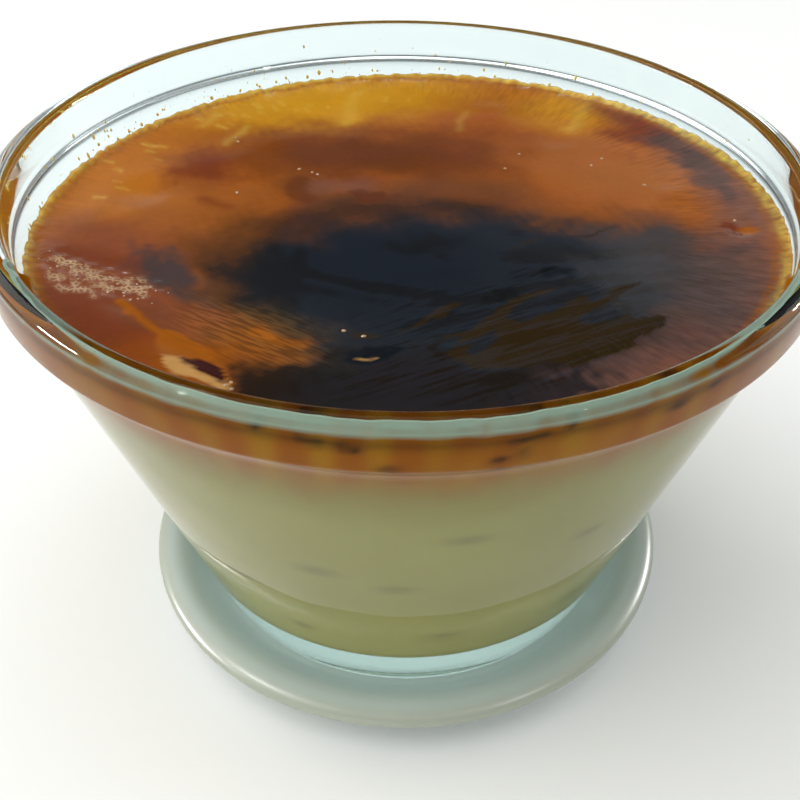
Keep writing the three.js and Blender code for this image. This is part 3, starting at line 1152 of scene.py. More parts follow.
BROWNING_AND_SHEEN: tuple[Blot | Stroke | Shore, ...] = (
    Blot(Tone.GOLD, (-14, 34), (21, 8), 14, 0.7),
    Blot(Tone.HONEY, (-35, 9), (8, 16), -12, 0.7, 0.9),
    Blot(Tone.UMBER, (-8, 17), (15, 7), 0, 0.8, 0.9),
    Blot(Tone.UMBER, (6, 17), (9, 7), 0, 0.8, 0.6),
    Blot(Tone.GOLD, (21, 31), (7, 6), -30, 0.8, 0.7),
    Stroke(Tone.PALE_GOLD, ((-9.4, 27), (-8.6, 36)), 0.5, 1.3, 0.3),
    Stroke(Tone.PALE_GOLD, ((6, 25), (6.8, 30)), 0.3, 1.0, 0.25),
    Stroke(Tone.PALE_GOLD, ((21, 25), (25, 34)), 0.5, 1.4, 0.35),
    Stroke(Tone.PALE_GOLD, ((-24.6, 19.6), (-22.4, 24.6)), 0.4, 1.0, 0.35),
    Stroke(Tone.PALE_GOLD, ((-28.4, 24.4), (-27, 28)), 0.4, 1.1, 0.3),
    Blot(Tone.SALMON, (27, 11), (13, 8), -28, 0.7, 0.95),
    Blot(Tone.SALMON, (-25, 0), (8, 9), -30, 0.8, 0.85),
    Blot(Tone.CARAMEL, (-19.5, -9), (5, 12), 12, 0.8, 0.7),
    Blot(Tone.RUSSET, (-34, -17), (11, 13), -40, 0.7),
    Blot(Tone.RUSSET, (-36.5, -7), (6, 6), -40, 0.8, 0.7),
    Blot(Tone.RUST, (-29, -24), (8, 4), -38, 0.8, 0.6),
    Blot(Tone.CHESTNUT, (-25, -22.5), (3.2, 1.8), -35, 0.8, 0.6),
    Shore(Tone.CHESTNUT, POOL, 6.0, 0.95, 4.2),
    # Painted reflection: a blue-grey sheen over the pool's burnt colour.
    Shore(Tone.PAINTED_SHEEN_DARK, POOL, 3.2, 0.96),
    Blot(Tone.SLATE, (-2, -11), (17, 12), -20, 0.8, 0.8),
    # Painted sheen: grey haze on the pool's right part.
    Blot(Tone.PAINTED_SHEEN_GREY, (27, -9.5), (6, 8), -10, 0.7, 0.85),
    Stroke(Tone.CHESTNUT, ((-14, 9), (-10, 4), (-4, 6), (4, 8.5), (12, 8)), 2.4, 2.8, 0.55),
    Stroke(Tone.COFFEE, ((-14, -1), (-8, 2.2), (2, 3.6), (10, 3.2)), 2.4, 3.2, 0.7),
    Blot(Tone.RUSSET, (-23, -21), (6, 3), -30, 0.7, 0.6),
    Stroke(
        Tone.MAUVE, ((31, 29), (35, 22), (37.5, 15), (39, 7), (39, 0), (36, -12), (30, -22)), 3.6, 2.8, 0.9,
    ),
    Stroke(Tone.MAUVE, ((36.5, -15), (31, -24), (24, -30), (15, -35)), 3.6, 3.2, 0.6),
    Blot(Tone.MAUVE, (33, -14), (5, 8), 10, 0.8, 0.5),
    # Painted sheen: more grey haze on the pool's right part.
    Blot(Tone.PAINTED_SHEEN_GREY, (30, -15), (7, 9.5), 20, 0.9, 0.75),
    Blot(Tone.PLUM, (24, -27), (8, 3.6), 35, 0.9, 0.5),
    Stroke(Tone.RUST, ((26, 31.5), (31, 27)), 2.0, 1.6, 0.7),
    Blot(Tone.RUST, (30.5, 24.5), (3.6, 4.4), -30, 0.8, 0.9),
    Blot(Tone.PLUM, (33, 21.5), (2.4, 3.2), -30, 0.8, 0.8),
    Blot(Tone.PLUM, (35.6, 15.5), (2.2, 4.6), 20, 0.8, 0.85),
    Blot(Tone.PLUM, (37.2, 7.5), (1.8, 3.6), 8, 0.8, 0.7),
    Blot(Tone.PLUM, (35.5, -8.5), (3.4, 1.6), 12, 0.8, 0.5),
    Shore(Tone.BARK, (
        (-15.5, -30.8), (-12.4, -29.7), (-7.8, -29.0), (-5.6, -27.0), (-3.1, -26.3), (0.1, -26.5),
        (3.5, -27.7), (7.2, -29.8), (11.9, -30.2), (17.2, -30.1), (19.2, -32.8), (14.4, -38.3), (7.1, -40),
        (-0.1, -41), (-7.2, -40), (-14.6, -38),
    ), 1.0, 0.92),
    # The olive islands are where the painted sheen breaks; the two small lenses after them are painted sheen
    # again.
    Shore(Tone.OLIVE, (
        (-0.7, -23.7), (0.7, -22.8), (2.0, -21.2), (3.2, -19.5), (4.5, -18.2), (5.8, -18.1), (4.7, -19.4),
        (3.8, -21.1), (2.7, -21.3), (1.5, -22.6), (-0.1, -23.7),
    ), 0.2),
    Shore(Tone.OLIVE, ((-5.3, -24.5), (-3.9, -23.9), (-2.2, -24.4), (-3.5, -24.8), (-5.0, -25.0)), 0.2),
    Shore(Tone.OLIVE, ((11.4, -7.2), (13.0, -5.1), (15.4, -3.5), (14.7, -4.6), (12.9, -6.2)), 0.3, 0.8),
    Shore(Tone.OLIVE, ((19.5, -4.0), (21.7, -3.2), (24.2, -1.5), (22.2, -3.4), (20.4, -4.4)), 0.3, 0.8),
    Shore(Tone.OLIVE, (
        (3.1, -26.1), (4.2, -24.4), (5.4, -23.8), (6.9, -23.2), (8.0, -21.8), (9.1, -19.7), (10.4, -18.0),
        (11.8, -17.0), (13.4, -16.2), (14.8, -15.5), (16.0, -15.3), (14.9, -16.5), (13.3, -17.5),
        (11.7, -18.3), (10.7, -19.4), (9.9, -21.1), (9.4, -22.5), (8.4, -23.9), (7.2, -24.9), (5.9, -25.8),
        (4.9, -26.6), (4.0, -27.2),
    ), 0.22),
    Shore(Tone.OLIVE, (
        (9.5, -21.4), (11.5, -21.9), (13.2, -20.9), (14.8, -20.0), (16.2, -18.5), (17.3, -17.2),
        (18.4, -16.7), (18.9, -18.0), (20.1, -17.4), (21.4, -16.1), (23.0, -15.2), (24.9, -13.8),
        (23.6, -15.6), (21.9, -17.2), (20.3, -18.7), (18.9, -20.0), (17.7, -21.5), (17.3, -22.5),
        (18.5, -22.9), (20.0, -22.3), (21.2, -21.0), (22.5, -20.3), (22.8, -21.5), (24.2, -21.3),
        (25.8, -21.0), (26.7, -21.4), (25.7, -23.0), (24.4, -23.7), (23.1, -24.6), (22.3, -25.3),
        (22.9, -26.1), (21.6, -26.8), (20.0, -27.5), (18.5, -28.1), (17.5, -29.0), (17.2, -29.9),
        (15.7, -29.8), (13.9, -29.2), (11.9, -29.9), (9.6, -30.0), (7.2, -29.8), (4.9, -28.6), (3.5, -27.5),
        (5.4, -26.6), (7.3, -25.9), (8.9, -24.2),
    ), 0.25),
    Shore(Tone.PAINTED_SHEEN_DARK, (
        (2.8, -26.9), (3.7, -25.4), (4.9, -24.5), (5.6, -24.8), (5.0, -26.3), (4.1, -27.3), (3.1, -27.5),
    ), 0.2),
    Shore(Tone.PAINTED_SHEEN_DARK, (
        (5.5, -27.4), (6.4, -26.4), (7.9, -25.1), (9.4, -24.4), (8.8, -25.4), (7.8, -26.9), (6.8, -27.6),
    ), 0.2),
    Shore(Tone.INK, (
        (-5.4, -28.9), (-4.9, -27.3), (-3.8, -26.3), (-1.8, -25.9), (0.1, -26.3), (-0.5, -27.3),
        (-1.7, -28.5), (-3.6, -29.2),
    ), 0.25),
    Stroke(Tone.TAN, ((-4.2, -28.4), (-2.6, -28.1)), 0.12, 0.12, 0.7),
    Blot(Tone.INK, (16.5, -11.9), (2.6, 1.3), 30, 0.6, 0.8),
    Blot(Tone.INK, (9.8, -16.9), (2.2, 0.8), 30, 0.6, 0.7),
    Blot(Tone.UMBER, (-5.4, 6.0), (2.4, 2.0), -10, 0.3, 0.9),
    Stroke(Tone.UMBER, ((-14, 9.5), (-13.6, 6), (-12.4, 5)), 1.3, 0.6, 0.7),
    Stroke(Tone.MAUVE, ((-11, 8.4), (-6, 9)), 1.6, 1.4, 0.5),
    Blot(Tone.RUST, (-26.5, 12.5), (4.4, 4.6), -15, 0.8, 0.9),
    Stroke(Tone.RUST, ((-24.5, 4.2), (-21.8, 2.6)), 0.8, 1.2, 0.6),
    Stroke(Tone.RUST, ((-37.5, -9.4), (-28.5, -11.5)), 1.6, 1.6, 0.6),
    Shore(Tone.PLUM, (
        (-30.0, -7.4), (-27.9, -8.8), (-26.6, -7.6), (-25.0, -9.3), (-23.7, -11.7), (-22.9, -14.3),
        (-21.2, -17.1), (-20.3, -18.7), (-22.6, -17.9), (-24.9, -16.4), (-26.8, -14.6), (-28.7, -13.1),
        (-29.6, -10.5),
    ), 1.8),
    Blot(Tone.CREAM_SHADE, (-14.5, -23.5), (7.5, 3.6), -32, 0.8, 0.12),
    Stroke(Tone.ORANGE, ((-22.6, -12.6), (-21.6, -15.6)), 0.4, 0.6, 0.35),
    Stroke(
        Tone.ORANGE, ((-29.0, -19.4), (-26.9, -21.3), (-25.0, -23.3), (-23.9, -25.0), (-23.7, -26.8)),
        0.42, 0.3,
    ),
    Stroke(Tone.ORANGE, ((-14.5, -24.2), (-11, -26.2), (-9.6, -25.9)), 0.7, 0.5, 0.6),
    Shore(Tone.ORANGE, (
        (-25.0, -23.3), (-23.8, -24.0), (-22.4, -24.2), (-20.1, -25.8), (-18.3, -28.2), (-16.5, -30.8),
        (-15.4, -32.4), (-16.6, -31.8), (-18.4, -30.2), (-20.5, -29.1), (-22.6, -27.9), (-23.4, -27.9),
        (-23.9, -25.6),
    ), 0.3),
    Shore(Tone.TAN, TORN, 0.18),
    SLIT,
    Shore(Tone.RUST, (
        (35.5, -2.2), (36.2, -1.5), (37.3, -1.5), (38.2, -2.4), (38.1, -3.7), (37.0, -4.2), (35.9, -3.6),
    ), 0.3),
    Shore(Tone.ORANGE, (
        (37.7, -2.5), (38.9, -2.7), (39.8, -3.3), (39.4, -4.3), (38.2, -4.3), (37.6, -3.5),
    ), 0.3),
)
FIBRE_PATCH = Blot(Tone.SALMON, (-14.5, -24.0), (8.5, 4.5), -32, 0.6)
WRINKLED_PATCH = Blot(Tone.INK, (14, -22), (20, 12), 20, 0.6)


@dataclass
class Custard:
    """The custard: cream up the sides, a browned skin on top, and browned film up the glass."""

    cup: GlassCup
    level: float = 51.4
    reach_into_wall: float = 0.1
    brown_depth: Point = (1.2, 9.0)
    brown_fade: float = 1.6
    brown_top: float = 55.8
    brown_top_soft: float = 0.25
    # Painted shadow under the lip: a dark bell below brown_top.
    lip_shadow: Triple = (1.1, 0.75, 0.5)  # drop from brown_top, half width and darkness
    tail_depth: Point = (3.0, 13.0)
    tail_strength: float = 0.75
    side_radius: float = 38.0
    shade_strength: float = 0.35
    # Painted light: the cream grows lighter towards the bottom, fully below the first height.
    painted_low_light: float = 0.22
    painted_light_heights: Point = (14.0, 24.0)
    # Heights above the cup's floor over which the painted light on the underside fades out.
    base_light_rise: Point = (0.1, 0.6)
    smudge_darkness: float = 0.38
    dot_darkness: float = 0.92
    film_top: float = 56.7
    film_span: Point = (-160.0, -19.0)
    film_soft: float = 9.0
    film_thickness: Point = (0.12, 0.5)  # at its top and at its foot
    film_rows: int = 10
    film_ragged: Layer = (0.12, 3.0, 13)
    film_radius: float = 46.0
    least_film: float = 0.4
    edge_creep: tuple[Layer, ...] = ((0.10, 2.2, 11), (0.07, 0.9, 12))
    creep_from: float = 0.965
    shift_x: tuple[Layer, ...] = ((0.9, 6.0, 21), (0.35, 1.8, 22))
    shift_y: tuple[Layer, ...] = ((0.9, 6.0, 23), (0.35, 1.8, 24))
    small_mark_shift: float = 0.25
    sectors: int = 480
    rings: int = 124
    side_rows: int = 54
    side_bias: float = 0.8
    corner_steps: int = 6
    bottom_ring: float = 0.5
    relief: SkinRelief = field(default_factory=SkinRelief)
    # Direction, height above the cup's base, half width and half height of each smudge and dot.
    smudges: tuple[tuple[float, float, float, float], ...] = (
        (-59.0, 32.8, 1.8, 0.9), (-80.4, 37.6, 2.4, 0.9), (-103.9, 29.5, 2.2, 0.9), (-121.9, 21.7, 2.0, 0.8),
        (-90.9, 26.9, 1.9, 0.8), (-49.0, 13.4, 2.6, 1.2), (-81.3, 13.6, 2.2, 0.8), (-112.5, 12.8, 1.4, 0.6),
        (35.0, 30.0, 2.0, 0.9), (80.0, 22.0, 2.4, 0.8), (120.0, 36.0, 1.8, 0.9), (160.0, 18.0, 2.2, 0.8),
        (10.0, 44.0, 1.6, 0.7), (-15.0, 26.0, 2.0, 0.9), (-160.0, 34.0, 1.8, 0.8),
    )
    dots: tuple[tuple[float, float, float, float], ...] = (
        (-100.2, 54.8, 0.6, 0.5), (-98.6, 54.5, 0.8, 0.6), (-96.0, 54.2, 0.7, 0.5), (-94.6, 53.9, 0.6, 0.45),
        (-105.0, 55.2, 0.7, 0.4), (-77.6, 54.3, 0.6, 0.4), (-76.2, 54.5, 0.7, 0.4), (-74.6, 54.8, 0.6, 0.4),
        (-71.4, 55.2, 0.6, 0.4), (-79.0, 52.4, 0.8, 0.4), (-76.4, 52.8, 0.7, 0.4), (-57.5, 54.0, 1.2, 0.5),
        (-52.0, 54.6, 0.8, 0.4), (-91.0, 51.6, 1.0, 0.3),
    )

    def wall(self, z: Array) -> Array:
        """The custard's radius against the glass, a little inside the wall so that no gap shows."""
        return self.cup.inner_radius(z) + self.reach_into_wall

    @property
    def edge_radius(self) -> float:
        """The radius of the skin's edge, at the custard's level."""
        return float(self.wall(self.level))

    def edge_height(self, angle: Array) -> Array:
        """Height of the edge round the cup: tilt, meniscus and a ragged creep up the glass.

        Args:
            angle: Directions from the axis, in radians.

        Returns:
            The heights above the cup's base.
        """
        x, y = self.edge_radius * np.cos(angle), self.edge_radius * np.sin(angle)
        return self.level + self.relief.height(x, y, self.edge_radius) + ripples(x, y, self.edge_creep)

    def film(self, angle: Array, edge: Array) -> Array:
        """How far the browned film climbs: up to one ragged height in front, easing off at both ends.

        Args:
            angle: Directions from the axis, in radians.
            edge: The edge's height in each.

        Returns:
            The film's height over the edge.
        """
        degrees = np.degrees(np.mod(angle + np.pi, 2 * np.pi) - np.pi)
        start, end = self.film_span
        rise = smooth_step(start, start + self.film_soft, degrees)
        fall = 1 - smooth_step(end - self.film_soft, end, degrees)
        x, y = self.film_radius * np.cos(angle), self.film_radius * np.sin(angle)
        return (self.film_top + ripples(x, y, (self.film_ragged,)) - edge) * rise * fall

    def grid(self) -> tuple[Array, Array, Array, Array, Array]:
        """The custard as one closed surface of two parameters.

        The first runs from the middle of the bottom out to the wall, up the wall to the film's end, down the
        film's inner face and in along the skin; the second runs once round the axis. Up the wall the radius
        is the glass's, on the film it is that less a growing thickness, and on the skin the height is the
        relief's.

        Returns:
            Vertices, quads, triangles, each vertex's depth under the edge, and whether it lies on the skin.
        """
        angle = 2 * np.pi * np.arange(self.sectors) / self.sectors
        cosine, sine = np.cos(angle), np.sin(angle)
        level_radius = self.edge_radius
        edge = self.edge_height(angle)
        climb = self.film(angle, edge)
        corner = self.cup.inner_corner
        corner_z = self.cup.floor_z + corner
        corner_r = float(self.wall(corner_z)) - corner
        low = arc((corner_r, corner_z), (corner, corner + self.reach_into_wall), -90, -8, self.corner_steps)
        low = np.concatenate([[[corner_r * self.bottom_ring, low[0, 1]]], low])
        low_r, low_z = (np.repeat(low[:, i:i + 1], self.sectors, axis=1) for i in (0, 1))
        share = np.linspace(0, 1, self.side_rows + 1)[1:] ** self.side_bias
        side_z = corner_z + np.outer(share, edge + climb - corner_z)
        side_r = self.wall(side_z)
        down = np.linspace(0, 1, self.film_rows)[:, None]
        film_z = edge + climb * (1 - down)
        film_r = self.wall(film_z) - (self.film_thickness[0] + np.diff(self.film_thickness)[0] * down)
        inward = np.linspace(1, 0, self.rings + 1)[1:-1, None]
        skin_r = inward * film_r[-1]
        flat_r = skin_r / self.wall(edge) * level_radius
        skin_z = self.level + self.relief.height(flat_r * cosine, flat_r * sine, level_radius)
        level_edge = self.relief.height(level_radius * cosine, level_radius * sine, level_radius)
        creep = edge - self.level - level_edge
        skin_z = skin_z + creep * smooth_step(self.creep_from, 1.0, inward)
        radius = np.concatenate([low_r, side_r, film_r, skin_r])
        height = np.concatenate([low_z, side_z, film_z, skin_z])
        rows = np.stack([radius * cosine, radius * sine, height], axis=-1)
        middle_z = float(self.level + self.relief.height(np.zeros(1), np.zeros(1), level_radius)[0])
        vertices = np.concatenate([rows.reshape(-1, 3), [[0, 0, low[0, 1]], [0, 0, middle_z]]])
        depth = np.concatenate([(edge - height).ravel(), [self.level, 0.0]])
        no_film = np.repeat(climb[None, :] < self.least_film, self.film_rows, axis=0)
        below = np.zeros((len(low_r) + len(side_r), self.sectors), bool)
        skin = np.concatenate([below, no_film, np.ones(skin_r.shape, bool)])
        skin = np.concatenate([skin.ravel(), [False, True]])
        return vertices, *ring_faces(*radius.shape), depth, skin

    @staticmethod
    def flecks(count: int = 30, seed: int = 83) -> list[Stroke]:
        """Short pale strokes that run outwards near the back edge, where steam broke the skin.

        Args:
            count: How many there are.
            seed: Seeds their places.

        Returns:
            The strokes.
        """
        draw = np.random.default_rng(seed)
        marks = []
        for _ in range(count):
            angle, start = np.radians(draw.uniform(88, 176)), draw.uniform(33.5, 40.0)
            end = start + draw.uniform(0.3, 1.8)
            line = tuple((float(r * np.cos(angle)), float(r * np.sin(angle))) for r in (start, end))
            marks.append(Stroke(Tone.PALE_GOLD, line, draw.uniform(0.1, 0.25), 0.45, draw.uniform(0.25, 0.6)))
        return marks

    def skin_tone(self, x: Array, y: Array) -> Array:
        """The skin's tones: each mark painted over the last, on places shifted by fine ripples.

        A pale speckled ring and a thin darker one inside it follow the edge. Some marks are a painted sheen
        on the dark pool.

        Args:
            x: The points' x.
            y: The points' y.

        Returns:
            The colours, as linear light.
        """
        shift_x, shift_y = ripples(x, y, self.shift_x), ripples(x, y, self.shift_y)
        color = np.tile(np.array(Tone.AMBER.linear()), (len(x), 1))
        for mark in (*BROWNING_AND_SHEEN, *self.flecks()):
            small = isinstance(mark, Stroke) or isinstance(mark, Shore) and mark.soft < 1
            calm = self.small_mark_shift if small else 1.0
            color = over(color, mark.tone.linear(), mark.mask(x + calm * shift_x, y + calm * shift_y))
        inset = self.edge_radius - np.hypot(x, y)
        golden = 0.5 + 0.5 * smooth_step(-0.5, 0.6, y / self.edge_radius)
        speckle = 0.55 + 0.3 * ripple(x, y, 1.0, 25) + 0.2 * ripple(x, y, 0.6, 26)
        grains = np.clip(0.75 + 0.35 * ripple(x, y, 1.3, 27), 0, 1)
        ring = bell(inset - 0.1 + 0.2 * shift_y, 0.85) * grains * golden
        line = bell(inset - 1.35 + 0.25 * shift_x, 0.45) * np.clip(speckle, 0, 1)
        return over(over(color, Tone.PALE_GOLD.linear(), ring), Tone.CARAMEL.linear(), line)

    def side_tone(self, angle: Array, z: Array, depth: Array) -> Array:
        """The tones up the side: cream, smudged, and browned near the edge, with painted light low down and
        on the underside, and a painted shadow under the lip.

        Args:
            angle: The points' directions from the axis.
            z: Their heights above the cup's base.
            depth: Their depths under the skin's edge.

        Returns:
            The colours, as linear light.
        """
        run = np.radians(angle) * self.side_radius
        cream = np.array(Tone.CREAM.linear())
        shade = np.clip(0.5 + 0.25 * ripple(run, z, 22.0, 31), 0, 1)
        color = cream + np.outer(shade * self.shade_strength, np.array(Tone.CREAM_SHADE.linear()) - cream)
        # Painted light: lighter cream low down.
        color = color * (1 + self.painted_low_light * (1 - smooth_step(*self.painted_light_heights, z)))[:, None]
        ragged = depth + 0.4 * ripple(run, z, 7.0, 32) + 0.2 * ripple(run, z, 1.6, 33)
        tail = self.tail_strength * (1 - smooth_step(*self.tail_depth, ragged))
        color = over(color, Tone.CREAM_BROWN.linear(), tail)
        streak = np.clip(0.25 + 0.5 * ripple(run, 0.2 * z, 3.5, 34), 0, 1)
        band = over(np.array(Tone.BAND.linear()), Tone.BAND_LIGHT.linear(), streak)
        color = over(color, band, (1 - smooth_step(*self.brown_depth, ragged)) ** self.brown_fade)
        # Painted shadow: the band darkens just under the lip.
        shadow_drop, shadow_half_width, shadow_darkness = self.lip_shadow
        color = color * (1 - shadow_darkness * bell(z - self.brown_top + shadow_drop, shadow_half_width))[:, None]
        pale = smooth_step(self.brown_top - self.brown_top_soft, self.brown_top + self.brown_top_soft, z)
        color = over(color, Tone.LIP_FILM.linear(), pale)
        # Painted light: the underside turns pale blue-grey.
        low, high = (self.cup.floor_z + rise for rise in self.base_light_rise)
        color = over(color, Tone.PAINTED_BASE_LIGHT.linear(), 1 - smooth_step(low, high, z))
        for marks, darkness in ((self.smudges, self.smudge_darkness), (self.dots, self.dot_darkness)):
            for at, height, wide, tall in marks:
                across = (np.mod(angle - at + 180, 360) - 180) * np.radians(1) * self.wall(np.array(height))
                spot = bell(np.hypot(across / wide, (z - height) / tall), 1.0)[:, None]
                color = color * (1 - darkness * spot)
        return color

    def build(self, effects: SharedEffects) -> bpy.types.Object:
        """Makes the piece, which stands for the custard's node.

        Args:
            effects: The shared node groups.

        Returns:
            The piece.
        """
        vertices, quads, triangles, depth, on_skin = self.grid()
        x, y, z = vertices.T
        angle = np.degrees(np.arctan2(y, x))
        color = np.where(on_skin[:, None], self.skin_tone(x, y), self.side_tone(angle, z, depth))
        piece = mesh_piece(
            "custard_baked", vertices + np.array([0, 0, self.cup.base_z]), quads, triangles, 65.0,
            np.concatenate([~on_skin[quads].any(axis=1), ~on_skin[triangles].any(axis=1)]),
        )
        edge = self.edge_radius
        inset = edge - np.hypot(x, y)
        skin = on_skin.astype(float)
        right = smooth_step(-0.4, 0.7, x / edge)
        streaked = (1 - smooth_step(2 + 7 * right, 5 + 9 * right, inset)) * (0.45 + 0.4 * right)
        gaps = smooth_step(-0.7, 0.2, ripple(x, y, 1.7, 71))
        foam = gaps * np.max([Shore(Tone.FOAM, patch, 0.5).mask(x, y) for patch in FOAM_PATCHES], axis=0)
        pool = Shore(Tone.SLATE, POOL, 4.0).mask(x, y)
        paint(piece, "tone", color)
        paint(piece, "rim", skin * streaked)
        paint(piece, "fibre", skin * FIBRE_PATCH.mask(x, y))
        paint(piece, "foam", skin * foam)
        paint(piece, "matt", 0.6 * foam)
        paint(piece, "gloss", skin * (0.35 + 0.65 * pool))
        paint(piece, "wrinkle", skin * WRINKLED_PATCH.mask(x, y))
        piece.data.materials.append(CustardFinish().build(effects))
        piece.data.materials.append(SideFinish().build(effects))
        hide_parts("custard")
        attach(piece, BODY)
        return piece


# Small drops


def domes(
    centres: Array, outward: Array, up: Array, sizes: Array, sectors: int = 10, rows: int = 5,
) -> tuple[Array, Array, Array]:
    """Many small domed drops as one mesh.

    Each drop is a flattened ball: a grid of two parameters, round and up, set on its own axes.

    Args:
        centres: The drops' middles.
        outward: The direction in which each stands proud.
        up: The direction of each one's length, square to outward.
        sizes: Half height, half length and half width of each drop.
        sectors: Vertices round each drop.
        rows: Rings of vertices up each drop.

    Returns:
        Vertices, quads and triangles.
    """
    turn = 2 * np.pi * np.arange(sectors) / sectors
    rise = np.linspace(-np.pi / 2, np.pi / 2, rows + 2)[1:-1]
    ball = np.stack([
        np.repeat(np.sin(rise)[:, None], sectors, axis=1),
        np.outer(np.cos(rise), np.cos(turn)),
        np.outer(np.cos(rise), np.sin(turn)),
    ], axis=-1).reshape(-1, 3)
    ball = np.concatenate([ball, [[-1, 0, 0], [1, 0, 0]]])
    across = np.cross(outward, up)
    axes = np.stack([outward, up, across], axis=1) * sizes[:, :, None]
    vertices = centres[:, None, :] + np.einsum("vk,nkj->nvj", ball, axes)
    quads, triangles = ring_faces(rows, sectors)
    shift = len(ball) * np.arange(len(centres))[:, None, None]
    return vertices.reshape(-1, 3), (quads + shift).reshape(-1, 4), (triangles + shift).reshape(-1, 3)


@dataclass
class Splashes:
    """Flecks of custard on the inside of the glass, just above the custard's edge."""

    custard: Custard
    count: int = 150
    seed: int = 51
    lean: float = 0.32
    back_share: float = 0.8
    back_spread: Point = (132.0, 30.0)
    span: Point = (5.0, 175.0)
    lift: float = 0.1
    reach: float = 0.8
    top_margin: float = 2.6
    high_share: float = 0.12
    high_lift: Point = (0.5, 2.5)
    width: Triple = (0.05, 0.22, 2.5)  # the least, what chance adds, and the power that keeps most small
    length: Point = (0.8, 1.7)
    thickness: Point = (0.05, 0.15)

    def build(self, effects: SharedEffects) -> bpy.types.Object:
        """Makes the piece.

        Args:
            effects: The shared node groups.

        Returns:
            The piece.
        """
        draw = np.random.default_rng(self.seed)
        cup = self.custard.cup
        at_back = draw.random(self.count) < self.back_share
        angle = np.radians(np.where(
            at_back, draw.normal(*self.back_spread, self.count), draw.uniform(*self.span, self.count),
        ))
        edge = self.custard.edge_height(angle)
        z = edge + self.lift + draw.exponential(self.reach, self.count)
        z = np.minimum(z, cup.band_foot + self.top_margin)
        high = draw.random(self.count) < self.high_share
        z = np.where(high, z + draw.uniform(*self.high_lift, self.count), z)
        radius = cup.inner_radius(z)
        centres = np.column_stack([radius * np.cos(angle), radius * np.sin(angle), z + cup.base_z])
        inward = np.column_stack([-np.cos(angle), -np.sin(angle), np.full(self.count, self.lean)])
        inward /= np.linalg.norm(inward, axis=1)[:, None]
        up = np.column_stack([self.lean * np.cos(angle), self.lean * np.sin(angle), np.ones(self.count)])
        up /= np.linalg.norm(up, axis=1)[:, None]
        least, growth, bias = self.width
        width = least + growth * draw.random(self.count) ** bias
        height = self.thickness[0] + self.thickness[1] * width
        sizes = np.column_stack([height, width * draw.uniform(*self.length, self.count), width])
        vertices, quads, triangles = domes(centres, inward, up, sizes)
        piece = mesh_piece("custard_splashes", vertices, quads, triangles)
        piece.data.materials.append(DropFinish("splashed_custard", Tone.PALE_GOLD, 0.3).build(effects))
        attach(piece, BODY)
        return piece


@dataclass
class Specks:
    """Pale beads on the skin: tiny unbroken bubbles, and the foam's larger ones."""

    custard: Custard
    places: tuple[Point, ...] = (
        (11.7, 13.5), (13.7, 17.5), (22.7, 14.3), (24.2, 16.0), (28.5, 8.3), (-12.5, 12.0), (-11.8, 11.5),
        (-14.2, 12.8), (-21.0, 6.2), (-6.0, -23.5), (-4.0, -24.5), (-23.5, 21.5), (-23.0, 20.3), (37.5, -1.0),
        (-16.2, -32.6), (-15.7, -32.2), (-15.5, -33.2),
    )
    foam_count: int = 60
    foam_spread: float = 1.0
    foam_size: Point = (0.07, 0.17)
    bead_size: float = 0.2
    height_share: float = 0.6
    length: Point = (1.0, 1.5)
    edge_margin: float = 1.0
    seed: int = 61

    def build(self, effects: SharedEffects) -> bpy.types.Object:
        """Makes the piece.

        Args:
            effects: The shared node groups.

        Returns:
            The piece.
        """
        draw = np.random.default_rng(self.seed)
        foam = self.custard.relief.foam
        along = draw.random(self.foam_count)
        x, y = (
            low + (high - low) * along + draw.normal(0, self.foam_spread, self.foam_count)
            for low, high in zip(foam.start, foam.end)
        )
        x, y = (np.concatenate([np.array(placed), grown]) for placed, grown in zip(zip(*self.places), (x, y)))
        edge = self.custard.edge_radius
        keep = np.hypot(x, y) < edge - self.edge_margin
        x, y = x[keep], y[keep]
        z = self.custard.level + self.custard.relief.height(x, y, edge) + self.custard.cup.base_z
        count = len(x)
        foam_size = draw.uniform(*self.foam_size, count)
        size = np.where(np.arange(count) < len(self.places), self.bead_size, foam_size)
        outward = np.tile([0.0, 0.0, 1.0], (count, 1))
        turn = draw.uniform(0, 2 * np.pi, count)
        up = np.column_stack([np.cos(turn), np.sin(turn), np.zeros(count)])
        length = size * draw.uniform(*self.length, count)
        sizes = np.column_stack([size * self.height_share, length, size])
        vertices, quads, triangles = domes(np.column_stack([x, y, z]), outward, up, sizes)
        piece = mesh_piece("skin_beads", vertices, quads, triangles)
        piece.data.materials.append(DropFinish("pale_beads", Tone.FOAM, 0.15).build(effects))
        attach(piece, BODY)
        return piece


# The studio


@dataclass(frozen=True)
class Softbox:
    """A rectangular lamp, aimed at a point of the object."""

    name: str
    at: Triple
    size: Point
    power: float
    color: Triple = (1.0, 1.0, 1.0)
    aim: Triple = (0.0, 0.0, 50.0)
    hidden: bool = False
    glint_only: bool = False

    def build(self) -> None:
        """Makes the lamp, turned so that it shines along the line from its place to its aim.

        A hidden lamp lights matt faces only and isn't seen. One for glints alone is mirrored and lights
        nothing.
        """
        lamp = bpy.data.lights.new(self.name, "AREA")
        lamp.shape = "RECTANGLE"
        lamp.size, lamp.size_y = self.size[0] * MM, self.size[1] * MM
        lamp.energy = self.power
        lamp.color = self.color
        holder = bpy.data.objects.new(self.name, lamp)
        if self.hidden:
            holder.visible_camera = holder.visible_glossy = holder.visible_transmission = False
        if self.glint_only:
            holder.visible_diffuse = False
        bpy.context.scene.collection.objects.link(holder)
        back = np.array(self.at) - np.array(self.aim)
        back = back / np.linalg.norm(back)
        right = np.cross([0, 1.0, 0] if abs(back[2]) > 0.999 else [0, 0, 1.0], back)
        right = right / np.linalg.norm(right)
        columns = np.column_stack([right, np.cross(back, right), back])
        turn = Matrix(columns.tolist()).to_4x4()
        turn.translation = [v * MM for v in self.at]
        holder.matrix_world = turn


